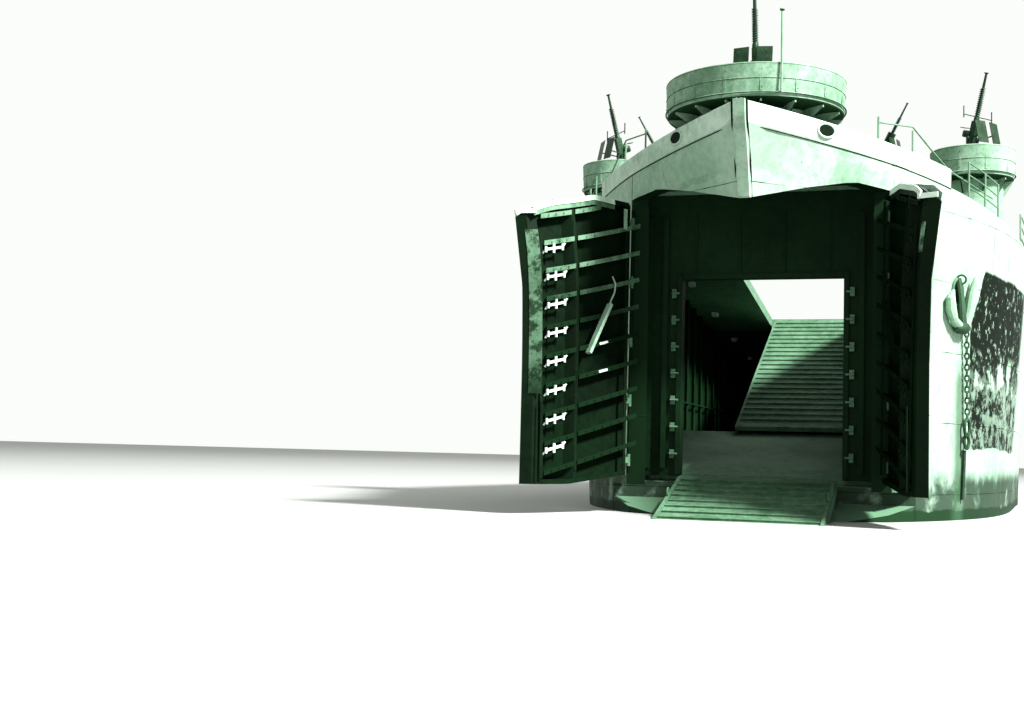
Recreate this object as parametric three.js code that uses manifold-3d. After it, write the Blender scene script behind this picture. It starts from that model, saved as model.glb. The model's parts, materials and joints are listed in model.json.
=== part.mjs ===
// Tank landing ship, beached with its bow doors open, as a 1:10 scale model.
// Sizes are written in metres of the real ship and multiplied by M, which gives
// millimetres of the model. Along the ship a place is its distance aft of the stem
// head, across it is its distance to port, and heights are above the flat bottom.
import * as THREE from 'three';
import * as BufferGeometryUtils from 'three/addons/utils/BufferGeometryUtils.js';
import Module from 'manifold-3d';

const wasm = await Module();
wasm.setup();

// Scale and gaps
const M = 100; // model millimetres in one real metre
const GAP = 0.004; // between pieces that touch, in real metres

// Hull
const HULL_LENGTH = 99.5;
const OVERALL_LENGTH = 99.97; // with the stern anchor and its rack
const HALF_BEAM = 7.62;
const DECK_HEIGHT = 7.67; // level part of the main deck
const STEM_HEIGHT = 10.8; // deck at the stem
const SHEER_START = 30; // the deck rises in a straight line forward of here
const SHEER_BLEND = 6; // half the length of the bend into it
const BOW_LENGTH = 23.96; // stem to full breadth
const BOW_FULLNESS = 3.5;
const STERN_START = 82; // where the deck narrows again
const STERN_FULLNESS = 2.6;
const STERN_HALF = 0.9; // half width left at the very end
const STEM_HALF = 0.1; // half width of the stem bar
const STEM_RAKE = 1.35; // how far the stem falls back behind the doors
const STEM_POWER = 7.45; // how sharply it turns forward at its head
const BULWARK_RAKE = 0.25; // lean of the stem above the deck
const BOW_FLARE = 0.1; // share of breadth lost at the bottom of the bow
const FLARE_END = 26;
const BILGE_RADIUS = 0.6;
const FOREFOOT_START = 13; // the bottom rises forward of here
const FOREFOOT_RISE = 0.9;
const FOREFOOT_CURVE = 1.8;
const COUNTER_START = 74; // and aft of here
const COUNTER_RISE = 3.9;
const COUNTER_END = 98;
const COUNTER_CURVE = 1.4;
const CUT_HALF = 9; // cutting blocks reach past the sides, the deck and the bottom
const CUT_TOP = 13;
const CUT_BOTTOM = -1;

// Bow opening
const HINGE_STATION = 3.68; // seam between door and hull side
const BULKHEAD_STATION = 4.66;
const BULKHEAD_THICKNESS = 0.34;
const OPENING_HALF = 2.16;
const OPENING_TOP = 7.6;
const SHELL_THICKNESS = 0.25;
const DOOR_THICKNESS = 0.25; // across and along the ship, so 0.35 through the leaf
const DOOR_SKIN = 0.08;
const DOOR_RIBS = 10;
const DOOR_RIB_WIDTH = 0.09;
const DOOR_RIB_SLOPE = 0.42; // the ribs rise towards the hinge
const DOOR_RIM = 0.12; // plain rim above and below the bays
const DOOR_OPEN_PORT = 68.5; // degrees from closed, as in the photograph
const DOOR_OPEN_STARBOARD = 83;

// Bow ramp
const RAMP_HINGE = { aft: 4.4, up: 2.12 };
const RAMP_LENGTH = 7.2;
const RAMP_HALF = 2.06;
const RAMP_SLOPE = 16; // degrees below level
const RAMP_TOE = 0.03; // half thickness at the toe
const RAMP_REACH = // ahead of the stem head
  RAMP_LENGTH * Math.cos(THREE.MathUtils.degToRad(RAMP_SLOPE)) +
  RAMP_TOE * Math.sin(THREE.MathUtils.degToRad(RAMP_SLOPE)) -
  RAMP_HINGE.aft;

// Tank deck
const TANK_HALF = 4.55;
const TANK_FLOOR = 3.6;
const SILL_HEIGHT = 2.2;
const TANK_END = 88;
const DECK_THICKNESS = 0.35;
const FLOOR_THICKNESS = 0.16;

// Bulwark
const BULWARK_HEIGHT = 0.53;
const BULWARK_THICKNESS = 0.1;
const BULWARK_END = 6.02;
const CHOCK = { aft: 1.87, up: 10.9, length: 0.55, height: 0.34 }; // oval mooring holes

// Main deck ramp and its hatch
const HATCH = { fore: 11.2, aft: 23.2, half: 1.95 };
const DECK_RAMP_HALF = 1.8;
const DECK_RAMP_THICKNESS = 0.3;

const STEM_AHEAD = (OVERALL_LENGTH - RAMP_REACH) / 2; // stem head ahead of the middle
const ROUND = 16; // sides of a round piece

const model = new THREE.Group();
const along = (aft) => (STEM_AHEAD - aft) * M;
const radians = THREE.MathUtils.degToRad;

// Paint and metal

const paint = (color, roughness = 0.6, metalness = 0.1) =>
  new THREE.MeshStandardMaterial({ color, roughness, metalness });
const finishes = {
  hull: paint(0xb9bfb6),
  deck: paint(0x7d827b, 0.8),
  dark: paint(0x3b3f3b, 0.7),
  gun: paint(0x4a4e4b, 0.45, 0.6),
  bronze: paint(0x9a7b45, 0.35, 0.8),
  steel: paint(0x6f7371, 0.5, 0.5),
};

// Solids

function solidOf(geometry) {
  const shell = geometry.clone();
  shell.deleteAttribute('normal');
  shell.deleteAttribute('uv');
  const merged = BufferGeometryUtils.mergeVertices(shell, 1e-3);
  return new wasm.Manifold(
    new wasm.Mesh({
      numProp: 3,
      vertProperties: new Float32Array(merged.attributes.position.array),
      triVerts: new Uint32Array(merged.index.array),
    }),
  );
}

function join(...solids) {
  return solids.reduce((whole, solid) => whole.add(solid));
}

function addNode(name, solid, finish, pivot) {
  const mesh = solid.getMesh();
  const geometry = new THREE.BufferGeometry();
  const corners = [];
  for (let i = 0; i < mesh.vertProperties.length; i += mesh.numProp) {
    corners.push(mesh.vertProperties[i], mesh.vertProperties[i + 1], mesh.vertProperties[i + 2]);
  }
  geometry.setAttribute('position', new THREE.Float32BufferAttribute(corners, 3));
  geometry.setIndex(Array.from(mesh.triVerts));
  const part = new THREE.Mesh(geometry, finishes[finish]);
  part.name = name;
  if (!pivot) {
    model.add(part);
    return part;
  }
  // The piece is made closed and stands turned about a vertical axis.
  const turned = new THREE.Group();
  turned.position.set(pivot.x, pivot.y, 0);
  turned.rotation.z = pivot.turn;
  part.position.set(-pivot.x, -pivot.y, 0);
  turned.add(part);
  model.add(turned);
  return part;
}

function box(fore, aft, right, left, low, high) {
  const geometry = new THREE.BoxGeometry((aft - fore) * M, (left - right) * M, (high - low) * M);
  geometry.translate(along((fore + aft) / 2), ((left + right) / 2) * M, ((low + high) / 2) * M);
  return solidOf(geometry);
}

// A prism across the ship, from a side view of [aft, up] corners
function sidePrism(corners, right, left) {
  const outline = new THREE.Shape(corners.map(([aft, up]) => new THREE.Vector2(along(aft), up * M)));
  const geometry = new THREE.ExtrudeGeometry(outline, { depth: (left - right) * M, bevelEnabled: false });
  geometry.rotateX(Math.PI / 2);
  geometry.translate(0, left * M, 0);
  return solidOf(geometry);
}

// An upright prism, from a plan of [aft, port] corners
function planPrism(corners, low, high) {
  const outline = new THREE.Shape(corners.map(([aft, port]) => new THREE.Vector2(along(aft), port * M)));
  const geometry = new THREE.ExtrudeGeometry(outline, { depth: (high - low) * M, bevelEnabled: false });
  geometry.translate(0, 0, low * M);
  return solidOf(geometry);
}

// A round piece about an upright axis, from [radius, up] corners
function turnedPiece(aft, port, corners, sides = ROUND) {
  const profile = corners.map(([radius, up]) => new THREE.Vector2(radius * M, up * M));
  const geometry = new THREE.LatheGeometry(profile, sides);
  geometry.rotateX(Math.PI / 2);
  geometry.translate(along(aft), port * M, 0);
  return solidOf(geometry);
}

// A rod between two places [aft, port, up]
function rod(start, end, startRadius, endRadius = startRadius, sides = 8) {
  const from = new THREE.Vector3(along(start[0]), start[1] * M, start[2] * M);
  const to = new THREE.Vector3(along(end[0]), end[1] * M, end[2] * M);
  const length = from.distanceTo(to);
  const geometry = new THREE.CylinderGeometry(endRadius * M, startRadius * M, length, sides);
  const direction = to.clone().sub(from).normalize();
  geometry.applyQuaternion(new THREE.Quaternion().setFromUnitVectors(new THREE.Vector3(0, 1, 0), direction));
  const middle = from.add(to).multiplyScalar(0.5);
  geometry.translate(middle.x, middle.y, middle.z);
  return solidOf(geometry);
}

const mirrored = (solid) => solid.mirror([0, 1, 0]);

// What is left of a cut piece, without slivers
function largest(solid) {
  return solid.decompose().reduce((kept, next) => (next.volume() > kept.volume() ? next : kept));
}

// Hull form

function deckHeight(aft) {
  const slope = (STEM_HEIGHT - DECK_HEIGHT) / SHEER_START;
  if (aft >= SHEER_START + SHEER_BLEND) return DECK_HEIGHT;
  if (aft <= SHEER_START - SHEER_BLEND) return DECK_HEIGHT + slope * (SHEER_START - aft);
  return DECK_HEIGHT + (slope * (SHEER_START + SHEER_BLEND - aft) ** 2) / (4 * SHEER_BLEND);
}

function deckHalf(aft) {
  if (aft < BOW_LENGTH) {
    const share = 1 - (1 - aft / BOW_LENGTH) ** BOW_FULLNESS;
    return Math.max(STEM_HALF, HALF_BEAM * share);
  }
  if (aft < STERN_START) return HALF_BEAM;
  const toStern = (aft - STERN_START) / (HULL_LENGTH - STERN_START);
  return Math.max(STERN_HALF, HALF_BEAM * Math.sqrt(Math.max(0, 1 - toStern ** STERN_FULLNESS)));
}

function bottomHeight(aft) {
  if (aft < FOREFOOT_START) {
    const share = (FOREFOOT_START - aft) / (FOREFOOT_START - STEM_RAKE);
    return FOREFOOT_RISE * Math.min(1, share) ** FOREFOOT_CURVE;
  }
  if (aft < COUNTER_START) return 0;
  const share = (aft - COUNTER_START) / (COUNTER_END - COUNTER_START);
  return COUNTER_RISE * share ** COUNTER_CURVE;
}

function stemStation(up) {
  if (up > STEM_HEIGHT) return -BULWARK_RAKE * (up - STEM_HEIGHT);
  return STEM_RAKE * (1 - (up / STEM_HEIGHT) ** STEM_POWER);
}

// Forward of the door seam the stations lean back with the stem.
function stationAt(deckStation, up) {
  if (deckStation >= HINGE_STATION) return deckStation;
  return stemStation(up) + (deckStation * (HINGE_STATION - stemStation(up))) / HINGE_STATION;
}

function halfAt(deckStation, up) {
  const flared = THREE.MathUtils.clamp((deckStation - HINGE_STATION) / (FLARE_END - HINGE_STATION), 0, 1);
  const loss = BOW_FLARE * Math.sin(Math.PI * flared) * (1 - up / deckHeight(deckStation));
  return deckHalf(deckStation) * (1 - loss);
}

const SIDE_ROWS = [0.2, 0.4, 0.6, 0.8, 0.9, 1]; // shares of the height from bilge to deck

// One side of a section, as [aft, port, up] from the keel up: inset by a plating thickness,
// and carried on above the deck, or stopped below it, by raised
function halfSection(deckStation, inset, raised) {
  const deck = deckHeight(deckStation);
  const bottom = bottomHeight(deckStation) + Math.max(inset, 0);
  const breadth = deckHalf(deckStation);
  const radius = Math.min(BILGE_RADIUS, 0.6 * (breadth - Math.min(inset, breadth / 2)));
  const backward = deckStation <= HINGE_STATION ? inset : 0;
  const place = (up, cut) => [
    stationAt(deckStation, up) + backward,
    Math.max(0.02, halfAt(deckStation, up) - inset - cut),
    up,
  ];
  const bilge = [0, 30, 60, 90].map((angle) =>
    place(bottom + radius * (1 - Math.cos(radians(angle))), radius * (1 - Math.sin(radians(angle)))));
  const foot = bottom + radius;
  const top = raised < 0 ? deck + raised : deck;
  const side = SIDE_ROWS.map((share) => place(foot + share * (top - foot), 0));
  return raised > 0 ? [...bilge, ...side, place(deck + raised, 0)] : [...bilge, ...side];
}

const HULL_STATIONS = [
  0, 0.6, 1.3, 2, 2.8, HINGE_STATION, BULKHEAD_STATION, 6.02, 8, 10, 12, 15, 19, 24, 30, 36,
  74, 78, STERN_START, 86, 90, 93, 95.5, 97.3, 98.6, 99.2, HULL_LENGTH,
];

// The hull as one closed form, or the space inside its plating
function hullForm(stations, inset = 0, raised = 0) {
  const rings = stations.map((station) => {
    const port = halfSection(station, inset, raised);
    const starboard = port.map(([aft, half, up]) => [aft, -half, up]).reverse();
    return [...port, ...starboard];
  });
  const size = rings[0].length;
  const corners = rings.flat().flatMap(([aft, port, up]) => [along(aft), port * M, up * M]);
  const faces = [];
  const quad = (a, b, c, d) => faces.push(a, c, b, a, d, c);
  for (let ring = 0; ring + 1 < rings.length; ring += 1) {
    for (let i = 0; i < size; i += 1) {
      const next = (i + 1) % size;
      quad(ring * size + i, ring * size + next, (ring + 1) * size + next, (ring + 1) * size + i);
    }
  }
  const last = (rings.length - 1) * size;
  for (let i = 0; i + 1 < size / 2; i += 1) {
    const across = size - 1 - i;
    quad(i, across, across - 1, i + 1);
    quad(last + i, last + i + 1, last + across - 1, last + across);
  }
  const geometry = new THREE.BufferGeometry();
  geometry.setAttribute('position', new THREE.Float32BufferAttribute(corners, 3));
  geometry.setIndex(faces);
  return solidOf(geometry);
}

const hull = hullForm(HULL_STATIONS);
const aroundHull = hullForm(HULL_STATIONS, -GAP, GAP); // what stands on the hull is cut by this
const bowStations = HULL_STATIONS.filter((station) => station <= 8);

// The line of the deck, or of its underside, in a side view
const deckLine = (fore, aft, rise) =>
  [fore, ...HULL_STATIONS.filter((station) => station > fore && station < aft), aft].map((station) => [
    station,
    deckHeight(station) + rise,
  ]);

function floorHeight(aft) {
  const share = THREE.MathUtils.clamp((FOREFOOT_START - aft) / (FOREFOOT_START - BULKHEAD_STATION), 0, 1);
  return TANK_FLOOR - (TANK_FLOOR - SILL_HEIGHT) * share;
}

const TANK_FORE = BULKHEAD_STATION + BULKHEAD_THICKNESS + GAP;
const TANK_AFT = TANK_END - GAP;

// Plan of the tank deck's side, as [aft, port]
const TANK_PLAN = [[TANK_FORE, 2.9], [7.5, 3.9], [10.5, TANK_HALF], [TANK_AFT, TANK_HALF]];

const CARGO_HATCH = { fore: 48, aft: 54.5, half: 2.1 };
const ENGINES = { fore: 67.4, aft: 74.8, half: 2.8, low: 0.7, high: 3.1, clearance: 0.4 };
const DAVIT = { stations: [67.5, 71.5], port: 6.7, seatHalf: 0.25, seatHeight: 0.12 };
const SKEG_HALF = 0.18;
const SKEG_SIDE = [[76, 0.02], [91.5, 0.02], [91.5, 2.6], [89, 2], [84, 1.18], [80, 0.6], [77, 0.22]];

const sliceOfHull = (side) => hull.intersect(sidePrism(side, -CUT_HALF, CUT_HALF));

function makeBottom() {
  const fore = BULKHEAD_STATION + GAP;
  const under = (aft) => [aft, floorHeight(aft) - FLOOR_THICKNESS - GAP];
  const foreEnd = BULKHEAD_STATION - GAP;
  const forefootSide = [[0.9, CUT_BOTTOM], [foreEnd, CUT_BOTTOM], [foreEnd, 1.6], [0.9, 0.75]];
  addNode('forefoot', sliceOfHull(forefootSide), 'hull');

  const bottomSide = [
    [fore, CUT_BOTTOM], [TANK_AFT, CUT_BOTTOM], under(TANK_AFT), under(FOREFOOT_START), under(fore),
  ];
  const { fore: first, aft: last, half, low, high, clearance } = ENGINES;
  const roomHalf = half + clearance;
  const engineRoom = box(first - clearance, last + clearance, -roomHalf, roomHalf, low, TANK_FLOOR + 0.4);
  addNode('hull_bottom', sliceOfHull(bottomSide).subtract(engineRoom), 'hull');
  addNode('engines', box(first, last, -half, half, low + GAP, high), 'steel');

  const skeg = sidePrism(SKEG_SIDE, -SKEG_HALF, SKEG_HALF);
  addNode('centre_skeg', largest(skeg.subtract(aroundHull)), 'hull');
}

// The tank deck is a plate on the bottom, between the side walls.
function makeTankDeck() {
  const edge = TANK_PLAN.map(([aft, half]) => [aft, half - GAP]);
  const plan = [...edge, ...edge.map(([aft, half]) => [aft, -half]).reverse()];
  const top = [TANK_FORE, FOREFOOT_START, TANK_END].map((aft) => [aft, floorHeight(aft)]);
  const underside = top.map(([aft, up]) => [aft, up - FLOOR_THICKNESS]).reverse();
  const plate = sidePrism([...top, ...underside], -CUT_HALF, CUT_HALF);
  addNode('tank_deck', planPrism(plan, 0, CUT_TOP).intersect(plate), 'deck');
}

// Side walls, from the bottom block to the underside of the main deck
function makeSides() {
  const foot = (aft) => [aft, floorHeight(aft) - FLOOR_THICKNESS];
  const head = deckLine(TANK_FORE, TANK_AFT, -DECK_THICKNESS - GAP).reverse();
  const wallSide = [foot(TANK_FORE), foot(FOREFOOT_START), foot(TANK_AFT), ...head];
  const wallPlan = [...TANK_PLAN, [TANK_AFT, CUT_HALF], [TANK_FORE, CUT_HALF]];
  const wall = hull
    .intersect(sidePrism(wallSide, 0, CUT_HALF))
    .intersect(planPrism(wallPlan, CUT_BOTTOM, CUT_TOP));
  addNode('hull_side_port', wall, 'hull');
  addNode('hull_side_starboard', mirrored(wall), 'hull');

  const end = HULL_LENGTH + 1;
  const sternSide = [[TANK_END, CUT_BOTTOM], [end, CUT_BOTTOM], [end, CUT_TOP], [TANK_END, CUT_TOP]];
  addNode('stern_block', sliceOfHull(sternSide), 'hull');
}

// The main deck, with the ramp's hatch, the cargo hatch and seats for the davits
function makeMainDeck() {
  const fore = BULKHEAD_STATION + GAP;
  const side = [...deckLine(fore, TANK_AFT, -DECK_THICKNESS), [TANK_AFT, DECK_HEIGHT + 1], [fore, CUT_TOP]];
  const openings = [HATCH, CARGO_HATCH].map((hatch) =>
    box(hatch.fore, hatch.aft, -hatch.half, hatch.half, 6, CUT_TOP));
  const seats = [];
  for (const aft of DAVIT.stations) {
    for (const port of [DAVIT.port, -DAVIT.port]) {
      const reach = DAVIT.seatHalf;
      const low = DECK_HEIGHT - 0.2;
      const high = DECK_HEIGHT + DAVIT.seatHeight;
      seats.push(box(aft - reach, aft + reach, port - reach, port + reach, low, high));
    }
  }
  addNode('main_deck', join(sliceOfHull(side).subtract(join(...openings)), ...seats), 'deck');
}

// Bow above and beside the doors

// Lower edge of the bow above the doors, and upper edge of a closed door, as [aft, up]
const BROW = [[HINGE_STATION + 0.1, 9.68], [2.8, 9.78], [1.9, 9.5], [0.97, 9.11], [-1, 8.3]];
const DOOR_HEAD = [[HINGE_STATION - 0.04, 9.49], [2.8, 9.56], [1.9, 9.2], [1.05, 8.62], [-1, 7.6]];
const DOOR_FOOT = [[-1, 1.92], [2.4, 1.96], [HINGE_STATION - 0.04, 2.2]];

function makeBow() {
  const aft = BULKHEAD_STATION - GAP;
  const cheekBottom = 1.95;
  const shellSide = [[-1, CUT_TOP], [aft, CUT_TOP], [aft, cheekBottom], [BROW[0][0], cheekBottom], ...BROW];
  const inner = hullForm(bowStations, SHELL_THICKNESS, -SHELL_THICKNESS);
  addNode('bow_shell', sliceOfHull(shellSide).subtract(inner), 'hull');

  const fore = BULKHEAD_STATION + GAP;
  const back = BULKHEAD_STATION + BULKHEAD_THICKNESS;
  const top = deckHeight(back) - DECK_THICKNESS - 2 * GAP;
  const plate = [[fore, floorHeight(fore)], [back, floorHeight(back)], [back, top], [fore, top]];
  const opening = box(fore - 1, back + 1, -OPENING_HALF, OPENING_HALF, 0, OPENING_TOP);
  addNode('bow_bulkhead', sliceOfHull(plate).subtract(opening), 'dark');
}

function makeBulwark() {
  const outer = hullForm(bowStations, 0, BULWARK_HEIGHT);
  const inner = hullForm(bowStations, BULWARK_THICKNESS, BULWARK_HEIGHT + 1);
  const fore = box(-1, BULWARK_END, -CUT_HALF, CUT_HALF, deckHeight(BULWARK_END), CUT_TOP);
  const rim = Array.from({ length: 8 }, (_, i) => radians(45 * i)).map((angle) => [
    CHOCK.aft + CHOCK.length * 0.5 * Math.cos(angle),
    CHOCK.up + CHOCK.height * 0.5 * Math.sin(angle),
  ]);
  const chocks = sidePrism(rim, -CUT_HALF, CUT_HALF);
  const band = outer.subtract(inner).subtract(aroundHull).intersect(fore);
  addNode('bulwark', largest(band.subtract(chocks)), 'hull');
}

// Inside the leaf: how far its bays lie from the middle of the ship, as [near, far]
const DOOR_BAYS = [[0.25, 1.25], [1.34, 3.16]];
const DOOR_MEETING = 0.06; // from the middle to the free edge

// The port leaf as it is when closed: a skin, with ribs and two bays across inside
function doorLeaf() {
  const side = sidePrism([...DOOR_FOOT, ...DOOR_HEAD], DOOR_MEETING, CUT_HALF);
  const core = hullForm(bowStations, DOOR_THICKNESS, 2);
  const underSkin = hullForm(bowStations, DOOR_SKIN, 2);
  const foot = DOOR_FOOT[2][1];
  const pitch = (DOOR_HEAD[0][1] - foot) / DOOR_RIBS;
  const fall = DOOR_RIB_SLOPE * HINGE_STATION;
  const cells = [];
  for (let row = 0; row < DOOR_RIBS + 2; row += 1) {
    const low = foot + row * pitch + DOOR_RIB_WIDTH;
    const high = foot + (row + 1) * pitch;
    const bay = [[0, low - fall], [HINGE_STATION, low], [HINGE_STATION, high], [0, high - fall]];
    for (const [near, far] of DOOR_BAYS) cells.push(sidePrism(bay, near, far));
  }
  const rimmed = (line, rise) => line.map(([aft, up]) => [aft, up + rise]);
  const within = sidePrism([...rimmed(DOOR_FOOT, DOOR_RIM), ...rimmed(DOOR_HEAD, -DOOR_RIM)], 0, CUT_HALF);
  const bays = join(...cells).intersect(within).intersect(underSkin);
  return hull.intersect(side).subtract(core).subtract(bays);
}

function makeDoors() {
  const leaf = largest(doorLeaf());
  const axis = { x: along(HINGE_STATION + 0.03), y: (deckHalf(HINGE_STATION) + 0.02) * M };
  addNode('bow_door_port', leaf, 'hull', { ...axis, turn: radians(DOOR_OPEN_PORT) });
  const opposite = { x: axis.x, y: -axis.y, turn: -radians(DOOR_OPEN_STARBOARD) };
  addNode('bow_door_starboard', mirrored(leaf), 'hull', opposite);
}

// Ramps

// A ramp laid down from its hinge. Its side view is [reach, up] from the hinge, surface gives
// the height of its plating at a reach, and cleats run across it.
function laidRamp({ hinge, slope, half, side, surface, cleats }) {
  const body = sidePrism(side.map(([reach, up]) => [-reach, up]), -half, half);
  const inset = half - 0.1;
  const sunk = 0.04;
  const rows = [];
  for (let reach = cleats.first; reach < cleats.last; reach += cleats.pitch) {
    const up = surface(reach);
    rows.push(box(-reach - cleats.width, -reach, -inset, inset, up - sunk, up + cleats.height));
  }
  return join(body, ...rows)
    .translate([-along(0), 0, 0])
    .rotate([0, slope, 0])
    .translate([along(hinge.aft), 0, hinge.up * M]);
}

function makeBowRamp() {
  const [top, underside, taper] = [0.15, -0.2, 5.5];
  const side = [
    [0.1, top], [0.1, -top], [1, underside], [taper, underside],
    [RAMP_LENGTH, -RAMP_TOE], [RAMP_LENGTH, RAMP_TOE], [taper, top],
  ];
  const surface = (reach) =>
    top - (top - RAMP_TOE) * Math.max(0, (reach - taper) / (RAMP_LENGTH - taper));
  const cleats = { first: 0.6, last: RAMP_LENGTH - 0.4, pitch: 0.45, width: 0.05, height: 0.05 };
  const ramp = laidRamp({ hinge: RAMP_HINGE, slope: RAMP_SLOPE, half: RAMP_HALF, side, surface, cleats });
  addNode('bow_ramp', ramp, 'deck');
}

function makeDeckRamp() {
  const hinge = { aft: HATCH.aft - 0.25, up: deckHeight(HATCH.aft) - 0.2 };
  const foot = { aft: 12.3, up: floorHeight(12.3) + 0.14 };
  const length = Math.hypot(hinge.aft - foot.aft, hinge.up - foot.up);
  const slope = THREE.MathUtils.radToDeg(Math.atan2(hinge.up - foot.up, hinge.aft - foot.aft));
  const top = DECK_RAMP_THICKNESS / 2;
  const side = [[0, top], [0, -top], [length - 0.5, -top], [length, 0], [length, top]];
  const cleats = { first: 0.5, last: length - 0.3, pitch: 0.5, width: 0.06, height: 0.06 };
  const ramp = laidRamp({ hinge, slope, half: DECK_RAMP_HALF, side, surface: () => top, cleats });
  addNode('main_deck_ramp', ramp, 'deck');
}

// Gun tubs and guns

// Tubs as [name, aft, port, radius, foot, deck under it, floor, rim]
const TUBS = [
  ['bow_gun_tub', 2.78, 0, 2.31, 1.617, 10.7, 11.6, 12.35],
  ['side_tub_port', 11, 5.5, 1.25, 0.9, 9.65, 11.4, 12.2],
  ['side_tub_starboard', 11, -5.5, 1.25, 0.9, 9.65, 11.4, 12.2],
  ['stern_gun_tub', 94.4, 0, 2.3, 1.61, 7.67, 9.9, 11.1],
];

function makeTubs() {
  const wall = 0.09;
  const sunk = 0.3;
  const sides = 24;
  for (const [name, aft, port, radius, foot, under, floor, rim] of TUBS) {
    const profile = [
      [0, under - sunk], [foot, under - sunk], [foot, floor - 0.15], [radius - 0.05, floor - 0.1],
      [radius, rim], [radius - wall, rim], [radius - wall - 0.05, floor], [0, floor],
    ];
    addNode(name, turnedPiece(aft, port, profile, sides).subtract(aroundHull), 'hull');
  }
}

// Guns as [name, aft, port, floor, barrel length, elevation, turned from ahead to port, size]
const GUNS = [
  ['bow_gun', 2.78, 0, 11.6, 2.6, 78, 0, 1],
  ['side_gun_port', 11, 5.5, 11.4, 1.3, 75, 50, 1],
  ['side_gun_starboard', 11, -5.5, 11.4, 1.3, 75, -50, 1],
  ['stern_gun', 94.4, 0, 9.9, 2.6, 25, 180, 1],
  ['light_gun_port', 6, 3.1, 10.1, 0.95, 60, 65, 0.62],
  ['light_gun_starboard', 6, -3.1, 10.1, 0.95, 60, -65, 0.62],
];
const GUN_AXLE = 1.25; // above the floor
const SHIELD_TILT = 12;

// Shield plate and the frame that carries it, as shares of the gun's size:
// [fore, aft, right, left, low, high]
const SHIELD = [
  [-0.62, -0.56, -0.5, 0.5, -0.4, 0.3],
  [-0.6, 0.1, -0.5, -0.4, -0.1, 0.05],
  [-0.6, 0.1, 0.4, 0.5, -0.1, 0.05],
  [-0.1, 0.1, -0.45, 0.45, -0.1, 0.05],
];

// A gun about its axle, pointing ahead and raised
function gunBody(barrel, elevation, size) {
  const cradle = box(-0.75 * size, 0.55 * size, -0.2 * size, 0.2 * size, -0.18 * size, 0.2 * size);
  const muzzle = -0.7 * size - barrel;
  const tube = rod([-0.7 * size, 0, 0], [muzzle, 0, 0], 0.09 * size, 0.05 * size);
  const plates = SHIELD.map((plate) => box(...plate.map((place) => place * size)));
  const toAxle = [-along(0), 0, 0];
  const gun = join(cradle, tube).translate(toAxle).rotate([0, -elevation, 0]);
  return gun.add(join(...plates).translate(toAxle).rotate([0, -SHIELD_TILT, 0]));
}

function makeGuns() {
  for (const [name, aft, port, floor, barrel, elevation, turn, size] of GUNS) {
    const base = floor + GAP;
    const axle = base + GUN_AXLE * Math.max(size, 0.95);
    const [foot, neck] = [0.5 * size, 0.28 * size];
    const profile = [
      [0, base], [foot, base], [foot, base + 0.12], [neck, base + 0.3], [neck, axle], [0, axle],
    ];
    const gun = gunBody(barrel, elevation, size)
      .rotate([0, 0, turn])
      .translate([along(aft), port * M, axle * M]);
    addNode(name, turnedPiece(aft, port, profile, 10).add(gun).subtract(aroundHull), 'gun');
  }
}

// Deck fittings

const COVER = { overhang: 0.2, lip: 0.05, height: 0.75, inside: 0.45 };
const VENTS = { first: 37.5, last: 65.5, pitch: 4, port: 5.75, stripHalf: 0.2, stripEnd: 1 };
const VENT_PROFILE = [[0, 0.06], [0.3, 0.06], [0.3, 1.01], [0.55, 1.01], [0.45, 1.31], [0, 1.41]];
const WINDLASS = { aft: 8, up: 10.45, drum: 0.38, drumHalf: 1.5, cheek: 0.9, baseHalf: 1.1 };

// The cargo hatch's cover, which stands on the coaming round it
function makeHatchCover() {
  const { fore, aft, half } = CARGO_HATCH;
  const { overhang, lip, height, inside } = COVER;
  const out = half + overhang;
  const cover = box(fore - overhang, aft + overhang, -out, out, DECK_HEIGHT + GAP, DECK_HEIGHT + height);
  const within = half - lip;
  const hollow = box(fore + lip, aft - lip, -within, within, DECK_HEIGHT - 0.5, DECK_HEIGHT + inside);
  addNode('hatch_cover', cover.subtract(hollow), 'deck');
}

// Rows of ventilators on a coaming strip each side
function makeVentilators() {
  const { first, last, pitch, port, stripHalf, stripEnd } = VENTS;
  const [near, far] = [port - stripHalf, port + stripHalf];
  const pieces = [box(first - stripEnd, last + 0.5, near, far, DECK_HEIGHT - 0.5, DECK_HEIGHT + 0.12)];
  const profile = VENT_PROFILE.map(([radius, up]) => [radius, DECK_HEIGHT + up]);
  for (let aft = first; aft <= last; aft += pitch) pieces.push(turnedPiece(aft, port, profile, 8));
  const row = join(...pieces).subtract(aroundHull);
  addNode('ventilators_port', row, 'hull');
  addNode('ventilators_starboard', mirrored(row), 'hull');
}

// Anchor windlass behind the bow gun
function makeWindlass() {
  const { aft, up, drum, drumHalf, cheek, baseHalf } = WINDLASS;
  const windlass = join(
    box(aft - 0.8, aft + 0.8, -baseHalf, baseHalf, 9.5, 10.15),
    rod([aft, -drumHalf, up], [aft, drumHalf, up], drum, drum, 10),
    box(aft - 0.4, aft + 0.4, -cheek, 0.2 - cheek, 10, 10.7),
    box(aft - 0.4, aft + 0.4, cheek - 0.2, cheek, 10, 10.7),
  );
  addNode('windlass', windlass.subtract(aroundHull), 'steel');
}

// Bow anchors as rods, each [aft, up] to [aft, up] with its radii at both ends
const ANCHOR_RODS = [
  [[6.3, 7.9], [6.3, 6.2], 0.1, 0.1],
  [[5.6, 6.35], [7, 6.35], 0.12, 0.12],
  [[5.75, 6.35], [5.6, 7.2], 0.12, 0.05],
  [[6.85, 6.35], [7, 7.2], 0.12, 0.05],
];

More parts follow.
